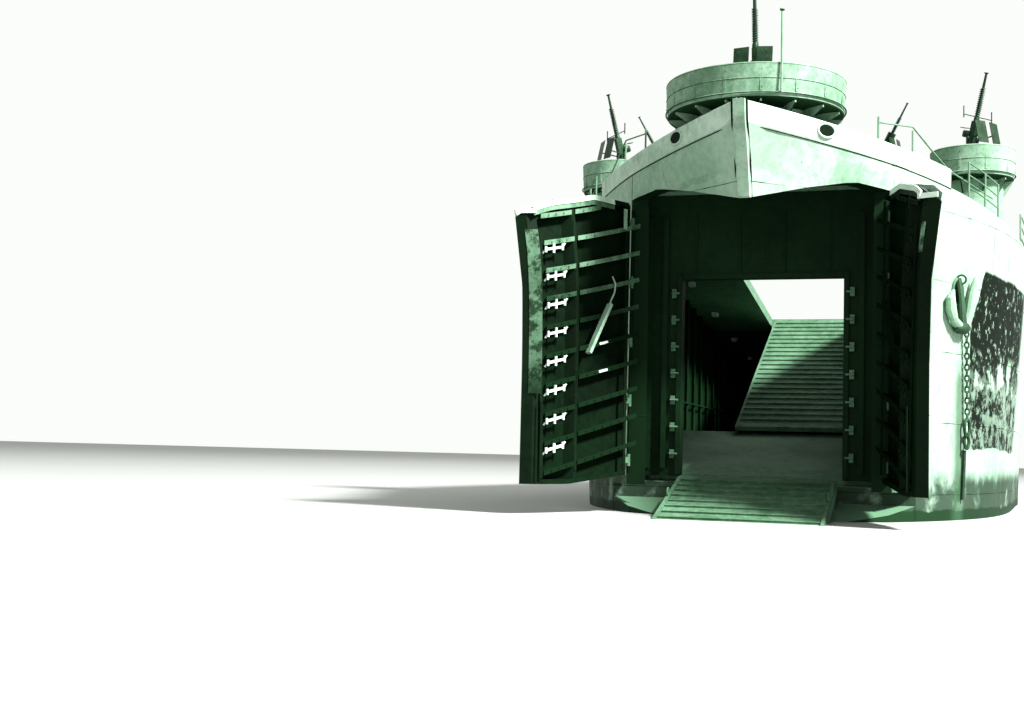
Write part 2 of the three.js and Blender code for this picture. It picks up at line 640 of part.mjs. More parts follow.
function makeBowAnchors() {
  const side = halfAt(6.3, 7) + 0.13;
  const rods = ANCHOR_RODS.map(([start, end, startRadius, endRadius]) =>
    rod([start[0], side, start[1]], [end[0], side, end[1]], startRadius, endRadius));
  const port = largest(join(...rods).subtract(aroundHull));
  addNode('bow_anchor_port', port, 'dark');
  addNode('bow_anchor_starboard', mirrored(port), 'dark');
}

// Stern anchor in its rack, and its winch
const STERN_RACK = { half: 0.5, inner: 0.35, low: 5.6, high: 7.6, beam: 7.3, beamHeight: 0.2 };
const STERN_WINCH = { aft: 97.7, half: 1, up: 0.85, drum: 0.45, bed: 0.3, cheek: 1.3 };

function makeSternAnchor() {
  const { half, inner, low, high, beam, beamHeight } = STERN_RACK;
  const fore = HULL_LENGTH + GAP;
  const shank = HULL_LENGTH + 0.3;
  const rack = join(
    box(fore, OVERALL_LENGTH, -half, -inner, low, high),
    box(fore, OVERALL_LENGTH, inner, half, low, high),
    box(HULL_LENGTH + 0.05, OVERALL_LENGTH - 0.2, -half, half, beam, beam + beamHeight),
    rod([shank, 0, beam + 0.1], [shank, 0, low - 0.1], 0.1),
    rod([shank, -0.8, low], [shank, 0.8, low], 0.14),
  );
  addNode('stern_anchor', rack, 'dark');
}

function makeSternWinch() {
  const { aft, half, up, drum, bed, cheek } = STERN_WINCH;
  const [fore, back] = [aft - 0.6, aft + 0.6];
  const axle = DECK_HEIGHT + up;
  const foot = DECK_HEIGHT + 0.2;
  const winch = join(
    box(aft - 0.8, aft + 0.8, -half, half, DECK_HEIGHT + GAP, DECK_HEIGHT + bed),
    box(fore, back, -half, 0.2 - half, foot, DECK_HEIGHT + cheek),
    box(fore, back, half - 0.2, half, foot, DECK_HEIGHT + cheek),
    rod([aft, -half - 0.2, axle], [aft, half + 0.2, axle], drum, drum, 12),
  );
  addNode('stern_winch', winch, 'steel');
}

// Superstructure

const HOUSE = { fore: 73, aft: 90.5, half: 4.9, top: 10 };
const WHEELHOUSE = { fore: 77, aft: 82.6, half: 2.5, top: 12.3 };
const BRIDGE_AFT = 79.6;
const BRIDGE_PROFILE = [[0, 0], [1.7, 0], [2.2, 0.3], [2.2, 1.3], [2.1, 1.3], [2.1, 0.4], [0, 0.4]];
const MAST = { aft: 84.4, top: 24, yard: 20, yardHalf: 2.6, platform: 16 };

function makeSuperstructure() {
  const { fore, aft, half, top } = HOUSE;
  addNode('deckhouse', box(fore, aft, -half, half, DECK_HEIGHT + GAP, top), 'hull');
  const upper = WHEELHOUSE;
  const wheelhouse = box(upper.fore, upper.aft, -upper.half, upper.half, top + GAP, upper.top);
  addNode('wheelhouse', wheelhouse, 'hull');
  const foot = WHEELHOUSE.top + GAP;
  const profile = BRIDGE_PROFILE.map(([radius, up]) => [radius, up ? WHEELHOUSE.top + up : foot]);
  addNode('bridge_tub', turnedPiece(BRIDGE_AFT, 0, profile, 20), 'hull');
  const { yard, yardHalf, platform } = MAST;
  const mast = join(
    rod([MAST.aft, 0, top + GAP], [MAST.aft, 0, MAST.top], 0.22, 0.1, 8),
    rod([MAST.aft, -yardHalf, yard], [MAST.aft, yardHalf, yard], 0.07),
    box(MAST.aft - 0.5, MAST.aft + 0.5, -0.5, 0.5, platform, platform + 0.15),
  );
  addNode('mast', mast, 'hull');
}

// Arms of a davit, as [port, up] to [port, up] with the radii at both ends
const DAVIT_ARMS = [
  [[6.7, 8.02], [6.9, 10.4], 0.2, 0.18],
  [[6.9, 10.35], [5.6, 12.2], 0.18, 0.14],
  [[5.62, 12.15], [4.7, 12.5], 0.14, 0.1],
];

function makeDavits() {
  const pieces = DAVIT.stations.flatMap((aft) =>
    DAVIT_ARMS.map(([start, end, startRadius, endRadius]) =>
      rod([aft, ...start], [aft, ...end], startRadius, endRadius)));
  const [fore, back] = DAVIT.stations;
  const foot = DECK_HEIGHT + 0.4;
  const pair = join(...pieces, rod([fore - 0.6, DAVIT.port, foot], [back + 0.6, DAVIT.port, foot], 0.22));
  addNode('davits_port', pair, 'hull');
  addNode('davits_starboard', mirrored(pair), 'hull');
}

// Below the counter

const SHAFT = { port: 2.9, up: 1.35, fore: 80.5, aft: 92.6, radius: 0.16, bossRadius: 0.28 };
const STRUT = { fore: 91.3, aft: 92.1, half: 0.09, top: 3.2 };
const PROPELLER = { aft: 93, hubFore: 92.72, hubAft: 93.35, pitch: 32, bladeReach: 0.52 };
const BLADE = { tip: 0.48, root: 0.3, thickness: 0.09, stretch: 1.35 };
const RUDDER_SIDE = [[94.3, 0.5], [96.7, 0.5], [96.7, 2.9], [94.3, 2.75]];
const RUDDER = { half: 0.14, stock: 95.1, stockRadius: 0.17, stockFoot: 2.6, stockTop: 3.22 };
const RUDDER_GAP = 0.05;

function makeShafts() {
  const { port, up, fore, aft, radius, bossRadius } = SHAFT;
  const shaft = join(
    rod([fore, port, up], [aft, port, up], radius),
    box(STRUT.fore, STRUT.aft, port - STRUT.half, port + STRUT.half, up, STRUT.top),
    rod([STRUT.fore - 0.1, port, up], [STRUT.aft + 0.1, port, up], bossRadius),
  );
  const kept = largest(shaft.subtract(aroundHull));
  addNode('shaft_port', kept, 'steel');
  addNode('shaft_starboard', mirrored(kept), 'steel');
}

// One blade: a flattened oval disc, set at the pitch and turned about the shaft
function propellerBlade(angle) {
  const blade = new THREE.CylinderGeometry(BLADE.tip * M, BLADE.root * M, BLADE.thickness * M, 10);
  blade.scale(1, 1, BLADE.stretch);
  blade.rotateX(Math.PI / 2);
  blade.rotateZ(Math.PI / 2);
  blade.rotateY(Math.PI / 2);
  blade.translate(0, 0, PROPELLER.bladeReach * M);
  blade.rotateZ(radians(PROPELLER.pitch));
  blade.rotateX(radians(angle));
  blade.translate(along(PROPELLER.aft), SHAFT.port * M, SHAFT.up * M);
  return solidOf(blade);
}

function makePropellers() {
  const { hubFore, hubAft } = PROPELLER;
  const hub = rod([hubFore, SHAFT.port, SHAFT.up], [hubAft, SHAFT.port, SHAFT.up], 0.26, 0.14, 10);
  const propeller = join(hub, ...[0, 120, 240].map(propellerBlade));
  addNode('propeller_port', propeller, 'bronze');
  addNode('propeller_starboard', mirrored(propeller), 'bronze');
}

function makeRudders() {
  const { half, stock, stockRadius, stockFoot, stockTop } = RUDDER;
  const rudder = join(
    sidePrism(RUDDER_SIDE, SHAFT.port - half, SHAFT.port + half),
    rod([stock, SHAFT.port, stockFoot], [stock, SHAFT.port, stockTop], stockRadius),
  );
  const kept = largest(rudder.subtract(hullForm(HULL_STATIONS, -RUDDER_GAP)));
  addNode('rudder_port', kept, 'hull');
  addNode('rudder_starboard', mirrored(kept), 'hull');
}

makeBottom();
makeTankDeck();
makeSides();
makeMainDeck();
makeBow();
makeBulwark();
makeDoors();
makeBowRamp();
makeDeckRamp();
makeTubs();
makeGuns();
makeHatchCover();
makeVentilators();
makeWindlass();
makeBowAnchors();
makeSternAnchor();
makeSternWinch();
makeSuperstructure();
makeDavits();
makeShafts();
makePropellers();
makeRudders();

export default model;
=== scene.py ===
# Tank landing ship, beached with its bow doors open, as a 1:10 scale model.
# Places are written in metres of the real ship: distance aft of the stem head, distance to
# port and height above the flat bottom. M turns them into metres of the model.
import json
import math

import bpy
from mathutils import Matrix, Vector


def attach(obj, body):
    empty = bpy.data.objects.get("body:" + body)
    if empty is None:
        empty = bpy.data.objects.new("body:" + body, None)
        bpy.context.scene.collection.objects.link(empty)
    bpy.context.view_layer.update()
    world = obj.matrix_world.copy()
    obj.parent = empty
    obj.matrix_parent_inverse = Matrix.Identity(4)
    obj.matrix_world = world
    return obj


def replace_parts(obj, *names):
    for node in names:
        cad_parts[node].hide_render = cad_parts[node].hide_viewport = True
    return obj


M = 0.1
STEM_AHEAD = 48.7203
WATERLINE = 1.2

# Hull form, as in the solids
HULL_LENGTH = 99.5
HALF_BEAM = 7.62
DECK_HEIGHT = 7.67
STEM_HEIGHT = 10.8
SHEER_START, SHEER_BLEND = 30, 6
BOW_LENGTH, BOW_FULLNESS = 23.96, 3.5
STERN_START, STERN_FULLNESS, STERN_HALF = 82, 2.6, 0.9
STEM_HALF = 0.1
STEM_RAKE, STEM_POWER = 1.35, 7.45
BULWARK_RAKE = 0.25
BOW_FLARE, FLARE_END = 0.1, 26
BILGE_RADIUS = 0.6
FOREFOOT_START, FOREFOOT_RISE = 13, 0.9
COUNTER_START, COUNTER_END, COUNTER_RISE = 74, 98, 3.9
HINGE_STATION = 3.68
BULKHEAD_STATION = 4.66
OPENING_HALF, OPENING_TOP, OPENING_SILL = 2.16, 7.6, 2.25
BROW = [(-1, 8.3), (0.97, 9.11), (1.9, 9.5), (2.8, 9.78), (3.78, 9.68)]
DOOR_HEAD = [(-1, 7.6), (1.05, 8.62), (1.9, 9.2), (2.8, 9.56), (3.64, 9.49)]
DOOR_FOOT = [(-1, 1.92), (2.4, 1.96), (3.64, 2.2)]
DOOR_THICKNESS = 0.25
DOOR_RIBS, DOOR_RIB_WIDTH, DOOR_RIB_SLOPE = 10, 0.09, 0.42
DOOR_MEETING = 0.06
LEAF_FLAT, LEAF_SKIN_PROUD, LEAF_SKIN_DEPTH = 0.6, 0.045, 0.035
DOOR_OPEN = {"port": 68.5, "starboard": 83}
BOW_RAMP = {"aft": 4.4, "up": 2.12, "slope": 16, "half": 2.0}
DECK_RAMP_FORE, DECK_RAMP_AFT = 10.9, 23.6
BULWARK_HEIGHT, BULWARK_END = 0.53, 6.02
CHOCK = {"aft": 1.87, "up": 10.9, "length": 0.55, "height": 0.34}

# Painted and worn places on the sides, in metres of the model. The dark patch runs from aft
# to fore along X and from low to high along Z, and its front edge leans aft above bend.
RUBBED = {"x": 4.195, "half": 0.055}
DARK_PATCH = {
    "aft": 3.5, "fore": 4.137, "low": 0.318, "high": 0.808, "bend": 0.644, "lean": 0.55, "worn": 0.53,
}
# The cheek faces beside the door hinges, along X, where the hull gets painted shade.
CHEEK_FACE = 4.494

# Camera, from the photograph
CAMERA = {"x": 8.0535, "y": 0.46822, "z": 0.27413, "yaw": -0.31147, "pitch": 0.06992, "roll": 0.02604}
FOCAL_PIXELS, FRAME_WIDTH = 1344.02, 1024

UP, AHEAD, ASTERN = Vector((0, 0, 1)), Vector((1, 0, 0)), Vector((-1, 0, 0))
TO_PORT, TO_STARBOARD = Vector((0, 1, 0)), Vector((0, -1, 0))

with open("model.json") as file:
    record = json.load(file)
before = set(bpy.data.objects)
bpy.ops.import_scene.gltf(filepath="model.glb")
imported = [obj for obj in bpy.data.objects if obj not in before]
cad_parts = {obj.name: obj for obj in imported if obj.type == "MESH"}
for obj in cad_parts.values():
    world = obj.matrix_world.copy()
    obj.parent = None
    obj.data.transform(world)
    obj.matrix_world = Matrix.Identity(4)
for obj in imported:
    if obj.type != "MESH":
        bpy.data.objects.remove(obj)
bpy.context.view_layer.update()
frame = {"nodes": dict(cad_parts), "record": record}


# Hull form

def between(table, x):
    """Height of a line given by its corners."""
    for (x0, y0), (x1, y1) in zip(table, table[1:]):
        if x <= x1:
            return y0 + (y1 - y0) * max(0, x - x0) / (x1 - x0)
    return table[-1][1]


def spread(first, last, count):
    return [first + (last - first) * i / (count - 1) for i in range(count)]


def deck_height(aft):
    slope = (STEM_HEIGHT - DECK_HEIGHT) / SHEER_START
    if aft >= SHEER_START + SHEER_BLEND:
        return DECK_HEIGHT
    if aft <= SHEER_START - SHEER_BLEND:
        return DECK_HEIGHT + slope * (SHEER_START - aft)
    return DECK_HEIGHT + slope * (SHEER_START + SHEER_BLEND - aft) ** 2 / (4 * SHEER_BLEND)


def deck_half(aft):
    if aft < BOW_LENGTH:
        return max(STEM_HALF, HALF_BEAM * (1 - (1 - aft / BOW_LENGTH) ** BOW_FULLNESS))
    if aft < STERN_START:
        return HALF_BEAM
    share = (aft - STERN_START) / (HULL_LENGTH - STERN_START)
    return max(STERN_HALF, HALF_BEAM * math.sqrt(max(0, 1 - share ** STERN_FULLNESS)))


def bottom_height(aft):
    if aft < FOREFOOT_START:
        share = (FOREFOOT_START - aft) / (FOREFOOT_START - STEM_RAKE)
        return FOREFOOT_RISE * min(1, share) ** 1.8
    if aft < COUNTER_START:
        return 0
    return COUNTER_RISE * ((aft - COUNTER_START) / (COUNTER_END - COUNTER_START)) ** 1.4


def stem_station(up):
    if up > STEM_HEIGHT:
        return -BULWARK_RAKE * (up - STEM_HEIGHT)
    return STEM_RAKE * (1 - (up / STEM_HEIGHT) ** STEM_POWER)


def station_at(station, up):
    if station >= HINGE_STATION:
        return station
    return stem_station(up) + station * (HINGE_STATION - stem_station(up)) / HINGE_STATION


def half_at(station, up):
    flared = min(1, max(0, (station - HINGE_STATION) / (FLARE_END - HINGE_STATION)))
    loss = BOW_FLARE * math.sin(math.pi * flared) * (1 - up / deck_height(station))
    return deck_half(station) * (1 - loss)


def at(aft, port, up):
    return Vector((STEM_AHEAD - aft, port, up))


def hull_point(station, up, side=1, proud=0.0):
    """A place on the hull's side, proud of the plating by a little."""
    step = 0.02
    spots = ((station, up), (station + step, up), (station, up + step))
    place, along, above = (Vector((-station_at(s, u), half_at(s, u), u)) for s, u in spots)
    place += proud * (along - place).cross(above - place).normalized()
    return Vector((place.x + STEM_AHEAD, side * place.y, place.z))


def hull_place(spot, side, proud):
    """A place at spot's distance aft and height, and the direction out of the plating there."""
    place = hull_point(spot["aft"], spot["up"], side, proud)
    return place, (hull_point(spot["aft"], spot["up"], side, 0.5) - place).normalized()


def brow_height(station):
    up = 9.4
    for _ in range(4):
        up = between(BROW, station_at(station, up))
    return up


# Shapes

def move(x, y, z):
    return Matrix.Translation((x, y, z))


def stand(aft, port, up=0):
    return Matrix.Translation(at(aft, port, up))


def spin(angle, axis):
    return Matrix.Rotation(angle, 4, axis)


def around(matrix, count, axis="Z", shift=0.0):
    """The matrix turned in even steps about one of its axes."""
    return [matrix @ spin(2 * math.pi * (i + shift) / count, axis) for i in range(count)]


def circle(sides):
    turns = [2 * math.pi * k / sides for k in range(sides)]
    return [(math.cos(turn), math.sin(turn)) for turn in turns]


def oval(centre, normal, radius, stretch, sides, hand=1):
    """Points around a centre, square to a normal."""
    across = hand * normal.cross(UP)
    across = across.normalized() if across.length > 0.1 else AHEAD
    rise = normal.cross(across)
    return [centre + radius * (stretch[0] * c * across + stretch[1] * s * rise) for c, s in circle(sides)]


def ring_profile(radius, up, thickness):
    rim = [(radius + thickness * c, up + thickness * s) for c, s in circle(8)]
    return rim + rim[:1]


class Shape:
    """Corners and faces of one piece, in metres of the real ship."""

    def __init__(self):
        self.corners = []
        self.faces = []

    def add(self, corners, faces):
        first = len(self.corners)
        self.corners += [Vector(corner) for corner in corners]
        self.faces += [[first + i for i in face] for face in faces]
        return self

    def merge(self, other, matrix=Matrix.Identity(4)):
        return self.add([matrix @ corner for corner in other.corners], other.faces)

    def mirrored(self):
        flip = Matrix.Diagonal((1, -1, 1, 1))
        return Shape().add([flip @ corner for corner in self.corners], [face[::-1] for face in self.faces])

    def both(self):
        return Shape().merge(self).merge(self.mirrored())

    def block(self, matrix, length, width, height):
        """A box about the matrix's origin."""
        flat = [(-length, -width), (length, -width), (length, width), (-length, width)]
        corners = [matrix @ Vector((x / 2, y / 2, z / 2)) for z in (-height, height) for x, y in flat]
        faces = [(0, 3, 2, 1), (4, 5, 6, 7), (0, 1, 5, 4), (1, 2, 6, 5), (2, 3, 7, 6), (3, 0, 4, 7)]
        return self.add(corners, faces)

    def blocks(self, matrix, *rows):
        """Boxes in the matrix's frame, each as its centre and its size."""
        for x, y, z, *size in rows:
            self.block(matrix @ move(x, y, z), *size)

    def box(self, fore, aft, right, left, low, high):
        centre = stand((fore + aft) / 2, (right + left) / 2, (low + high) / 2)
        return self.block(centre, aft - fore, abs(left - right), high - low)

    def post(self, aft, port, low, high, length, width):
        """A box standing about a place, between two heights."""
        return self.block(stand(aft, port, (low + high) / 2), length, width, high - low)

    def bar(self, start, end, width, height, up=UP):
        """A straight flat bar between two points."""
        along = (end - start).normalized()
        across = along.cross(Vector(up)).normalized()
        turn = Matrix((along, across, across.cross(along))).transposed().to_4x4()
        return self.block(Matrix.Translation((start + end) / 2) @ turn, (end - start).length, width, height)

    def tube(self, points, radius, sides=8, closed=False):
        """A round rod through some points. The radius is one number or one for each point."""
        count = len(points)
        radii = radius if isinstance(radius, list) else [radius] * count
        across = None
        corners = []
        for i, point in enumerate(points):
            before = points[i - 1] if i or closed else point
            after = points[(i + 1) % count] if i + 1 < count or closed else point
            along = (after - before).normalized()
            across = across or along.orthogonal().normalized()
            across = (across - along * across.dot(along)).normalized()
            other = along.cross(across)
            corners += [point + radii[i] * (c * across + s * other) for c, s in circle(sides)]
        faces = []
        for i in range(count if closed else count - 1):
            near, far = i * sides, (i + 1) % count * sides
            for k in range(sides):
                n = (k + 1) % sides
                faces.append((near + k, near + n, far + n, far + k))
        if not closed:
            faces.append(tuple(range(sides))[::-1])
            faces.append(tuple(range((count - 1) * sides, count * sides)))
        return self.add(corners, faces)

    def rod(self, start, end, radius, sides=8):
        return self.tube([start, end], radius, sides)

    def turned(self, matrix, profile, sides=32):
        """A profile of (radius, height) corners turned about the matrix's Z axis, with its ends closed."""
        looped = (Vector(profile[0]) - Vector(profile[-1])).length < 1e-6
        rows = profile[:-1] if looped else profile
        count = len(rows)
        corners = [matrix @ Vector((r * c, r * s, height)) for c, s in circle(sides) for r, height in rows]
        faces = []
        for i in range(sides):
            near, far = i * count, (i + 1) % sides * count
            for k in range(count if looped else count - 1):
                n = (k + 1) % count
                faces.append((near + k, far + k, far + n, near + n))
        if not looped:
            faces.append(tuple(i * count for i in range(sides))[::-1])
            faces.append(tuple(i * count + count - 1 for i in range(sides)))
        return self.add(corners, faces)

    def ring(self, centre, normal, radius, thickness, sides=24, stretch=(1, 1)):
        """A round or oval ring of round bar."""
        points = oval(centre, Vector(normal).normalized(), radius, stretch, sides)
        return self.tube(points, thickness, 8, closed=True)

    def disc(self, centre, normal, radius, stretch=(1, 1), sides=24, depth=0.03):
        """A round or oval plate with its front face at the centre."""
        normal = Vector(normal).normalized()
        rim = oval(centre, normal, radius, stretch, sides, -1)
        back = [corner - normal * depth for corner in rim]
        edges = [(k, sides + k, sides + (k + 1) % sides, (k + 1) % sides) for k in range(sides)]
        return self.add(rim + back, [tuple(range(sides)), tuple(range(sides, 2 * sides))[::-1]] + edges)

    def sheet(self, rows):
        """A surface through rows of points, with its front to the right-hand side."""
        width = len(rows[0])
        starts = [i * width + k for i in range(len(rows) - 1) for k in range(width - 1)]
        faces = [(start, start + 1, start + width + 1, start + width) for start in starts]
        return self.add([corner for row in rows for corner in row], faces)

    def slab(self, rows, offset):
        """A sheet given a thickness, with its edges closed."""
        width, height = len(rows[0]), len(rows)
        first = len(self.corners)
        self.sheet(rows)
        second = len(self.corners)
        self.sheet([[corner + Vector(offset) for corner in row] for row in rows])
        for face in self.faces[-(width - 1) * (height - 1):]:
            face.reverse()
        edge = [(0, k) for k in range(width)] + [(i, width - 1) for i in range(1, height)]
        edge += [(height - 1, k) for k in range(width - 2, -1, -1)]
        edge += [(i, 0) for i in range(height - 2, 0, -1)]
        for (i, k), (j, n) in zip(edge, edge[1:] + edge[:1]):
            a, b = i * width + k, j * width + n
            self.faces.append([first + a, second + a, second + b, first + b])
        return self


def make(name, shape, material, body="hull", smooth=35):
    """One piece of the scene from a shape, riding on a body of the model."""
    mesh = bpy.data.meshes.new(name)
    mesh.from_pydata([corner * M for corner in shape.corners], [], shape.faces)
    mesh.validate()
    mesh.shade_smooth()
    mesh.set_sharp_from_angle(angle=math.radians(smooth))
    mesh.materials.append(MATERIALS[material])
    piece = bpy.data.objects.new(name, mesh)
    bpy.context.scene.collection.objects.link(piece)
    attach(piece, body)
    return piece


# Materials

class Value:
    """An output of a shader node. Arithmetic with it adds Math nodes."""

    def __init__(self, nodes, socket):
        self.nodes = nodes
        self.socket = socket

    def __add__(self, other):
        return self.nodes.math("ADD", self, other)

    def __sub__(self, other):
        return self.nodes.math("SUBTRACT", self, other)

    def __rsub__(self, other):
        return self.nodes.math("SUBTRACT", other, self)

    def __mul__(self, other):
        return self.nodes.math("MULTIPLY", self, other)

    def __abs__(self):
        return self.nodes.math("ABSOLUTE", self, 0.0)

    def most(self, other):
        return self.nodes.math("MAXIMUM", self, other)

    def step(self, low, high):
        """0 below low, 1 above high, and smooth between."""
        inputs = {"Value": self, "From Min": low, "From Max": high}
        return self.nodes.node("MapRange", inputs, interpolation_type="SMOOTHSTEP")


class Nodes:
    """The nodes of one material."""

    def __init__(self, name):
        self.material = bpy.data.materials.new(name)
        self.material.use_nodes = True
        self.tree = self.material.node_tree
        self.shader = self.tree.nodes["Principled BSDF"]
        self.place = self.node("TexCoord", {}, "Object")

    def link(self, value, socket):
        if isinstance(value, Value):
            self.tree.links.new(value.socket, socket)
        elif isinstance(value, tuple) and len(socket.default_value) > len(value):
            socket.default_value = (*value, 1)
        else:
            socket.default_value = value

    def node(self, kind, inputs, output=0, **settings):
        """Adds a node with its inputs set or linked, and gives one of its outputs."""
        node = self.tree.nodes.new("ShaderNode" + kind)
        for name, value in settings.items():
            setattr(node, name, value)
        for name, value in inputs.items():
            self.link(value, node.inputs[name])
        return Value(self, node.outputs[output])

    def math(self, kind, first, second):
        return self.node("Math", {0: first, 1: second}, operation=kind)

    def mix(self, share, first, second):
        return self.node("Mix", {0: share, 6: first, 7: second}, 2, data_type="RGBA")

    def noise(self, scale, detail=4, rough=0.55, vector=None):
        inputs = {"Vector": vector or self.place, "Scale": scale, "Detail": detail, "Roughness": rough}
        return self.node("TexNoise", inputs)

    def axes(self):
        return [self.node("SeparateXYZ", {0: self.place}, name) for name in "XYZ"]

    def facing(self):
        normal = self.node("NewGeometry", {}, "True Normal")
        return [self.node("SeparateXYZ", {0: normal}, name) for name in "XYZ"]

    def bump(self, height, strength, distance, under=None):
        inputs = {"Strength": strength, "Distance": distance, "Height": height}
        if under:
            inputs["Normal"] = under
        return self.node("Bump", inputs)

    def plate_seams(self, across, rise):
        """Lines between plates, on the sides of the ship."""
        x, _, z = self.axes()
        return self.node("TexBrick", {
            "Vector": self.node("CombineXYZ", {0: x, 1: z}), "Scale": 1.0, "Brick Width": across,
            "Row Height": rise, "Mortar Size": 0.0016, "Mortar Smooth": 0.6,
        }, "Fac")

    def dents(self):
        """Plating pressed in a little between its frames."""
        return self.node("TexWave", {"Vector": self.place, "Scale": 2.6, "Distortion": 1.5}, "Fac")

    def finished(self, colour, rough, specular, normal=None):
        sockets = {"Base Color": colour, "Roughness": rough, "Specular IOR Level": specular}
        if normal:
            sockets["Normal"] = normal
        for name, value in sockets.items():
            self.link(value, self.shader.inputs[name])
        return self.material


def ink(level):
    """The green-grey of the paint at a level from 0 for black to 1 for white."""
    return (level ** 1.25, level ** 0.92, level ** 1.17)


def zones(n, colour, broken, cloudy):
    """Bottom paint below the waterline, deck paint on top, near-black inner faces of dark paint with painted
    shade, painted shade on faces turned down and on the cheeks, and worn patches.
    """
    x, y, z = n.axes()
    ahead, sideways, upwards = n.facing()
    edge = z + broken * -0.03
    grime = edge.step(0.25, 0.2) * broken.step(0.22, 0.5)
    rubbed = abs(x - RUBBED["x"]).step(RUBBED["half"], 0.01) * z.step(0.62, 0.52) * cloudy.step(0.36, 0.56)
    # Faces looking inwards, and faces looking aft near the bow, go near-black: dark inner paint with painted
    # shade. The cheeks beside the doors and every face turned down go near-black as painted shade.
    inward = (sideways * y).step(-0.002, -0.01)
    backward = ahead.step(-0.4, -0.6) * x.step(3.9, 4)
    cheek = abs(x - CHEEK_FACE).step(0.012, 0.008) * ahead.step(0.93, 0.97)
    inside = inward.most(backward).most(cheek).most(upwards.step(-0.6, -0.8))
    layers = [
        (grime * 0.9, 0.007), (edge.step(0.136, 0.13), 0.014), (rubbed * 0.8, 0.045),
        (dark_patch(n, broken, cloudy), 0.0015), (upwards.step(0.85, 0.95), 0.12), (inside, 0.008),
    ]
    for share, level in layers:
        colour = n.mix(share, colour, ink(level))
    return colour


def dark_patch(n, broken, cloudy):
    """A ragged dark patch on each side abreast of the first hatch, with paler places worn in it."""
    patch = DARK_PATCH
    x, _, up = n.axes()
    wander = (cloudy - 0.5) * 0.05
    x, z = x + wander, up + wander
    lean = (z - patch["bend"]).most(0) * patch["lean"]
    fore = (x + lean).step(patch["fore"] + 0.006, patch["fore"])
    aft = (x + wander).step(patch["aft"] - 0.05, patch["aft"] + 0.05)
    low = z.step(patch["low"] - 0.006, patch["low"])
    high = z.step(patch["high"] + 0.01, patch["high"])
    worn = abs(up - patch["worn"]).step(0.07, 0.03) * broken.step(0.5, 0.58)
    flaked = up.step(0.58, 0.46) * n.noise(24, 6, 0.75).step(0.44, 0.56)
    speckle = n.noise(38, 4, 0.7).step(0.57, 0.64)
    return fore * aft * (low * high) * (1.0 - worn.most(flaked * 0.5).most(speckle * 0.5))


def painted(name, light, dark, stain_and_shade=0.05, stains=0.5, streaks=0.5, rough=0.6, plates=None,
            hull=False, fade=None, worn=0.0, shaded=False):
    """Weathered paint: blotches, streaks that run down, chips, plate seams, a fade downwards, and painted
    shade on faces turned down. The fade is grime on the leaf skin and painted shade on the leaf frames.
    """
    n = Nodes(name)
    light, dark, stain_and_shade = ink(light), ink(dark), ink(stain_and_shade)
    cloudy, fine, broken = n.noise(3.2, 8, 0.62), n.noise(46, 5, 0.6), n.noise(11, 4, 0.6)
    tone = cloudy * 0.55 + fine * 0.3 + n.noise(150, 3, 0.6) * 0.15
    colour = n.mix(tone.step(0.38, 0.62), dark, light)
    run = n.noise(7, 5, 0.6, n.node("Mapping", {"Vector": n.place, "Scale": (3.2, 3.2, 0.22)}))
    streak = run.step(0.64 - 0.1 * streaks, 0.74) * broken.step(0.42, 0.62)
    colour = n.mix(streak * min(1, 0.35 + streaks * 0.6), colour, stain_and_shade)
    chips = n.noise(70, 6, 0.75).step(0.66 - 0.05 * stains, 0.7) * cloudy.step(0.5, 0.6)
    patches = n.noise(5.5, 6, 0.7).step(0.6 - 0.06 * stains, 0.72)
    chips = chips.most(patches * (0.55 * stains))
    colour = n.mix(chips, colour, stain_and_shade)
    normal = n.bump(fine * 0.3 + cloudy * 0.7, 0.25, 0.004)
    normal = n.bump(chips, 0.4, -0.0006, normal)
    if plates:
        seam = n.plate_seams(*plates)
        colour = n.mix(seam * broken.step(0.4, 0.6), colour, stain_and_shade)
        normal = n.bump(n.dents(), 0.25, 0.0022, n.bump(seam, 0.9, 0.0012, normal))
    if hull:
        colour = zones(n, colour, broken, cloudy)
    if worn:
        colour = n.mix(n.noise(26, 5, 0.7).step(0.47, 0.58) * worn, colour, stain_and_shade)
    # Faces turned down go near-black: painted shade under floors, rims and brackets.
    if shaded:
        colour = n.mix(n.facing()[2].step(-0.15, -0.45), colour, ink(0.015))
    # Darker towards the bottom, in the stain and shade colour: grime at the foot of the leaf skin, painted
    # shade low on the leaf frames, and a darker lower part on the meeting-edge trim.
    if fade:
        colour = n.mix((n.axes()[2] + broken * 0.08).step(*fade), stain_and_shade, colour)
    return n.finished(colour, fine * 0.3 + (rough - 0.15), 0.05, normal)


def bare_metal(name, light, dark, metallic=0.6, rough=0.45):
    """Oiled or worn metal with grime."""
    n = Nodes(name)
    cloudy, fine = n.noise(14, 7, 0.65), n.noise(160, 4, 0.6)
    colour = n.mix(cloudy.step(0.35, 0.68), dark, light)
    colour = n.mix(fine.step(0.6, 0.72) * 0.5, colour, (0.09, 0.085, 0.07))
    n.shader.inputs["Metallic"].default_value = metallic
    return n.finished(colour, cloudy * 0.4 + (rough - 0.2), 0.25, n.bump(cloudy + fine, 0.3, 0.0015))


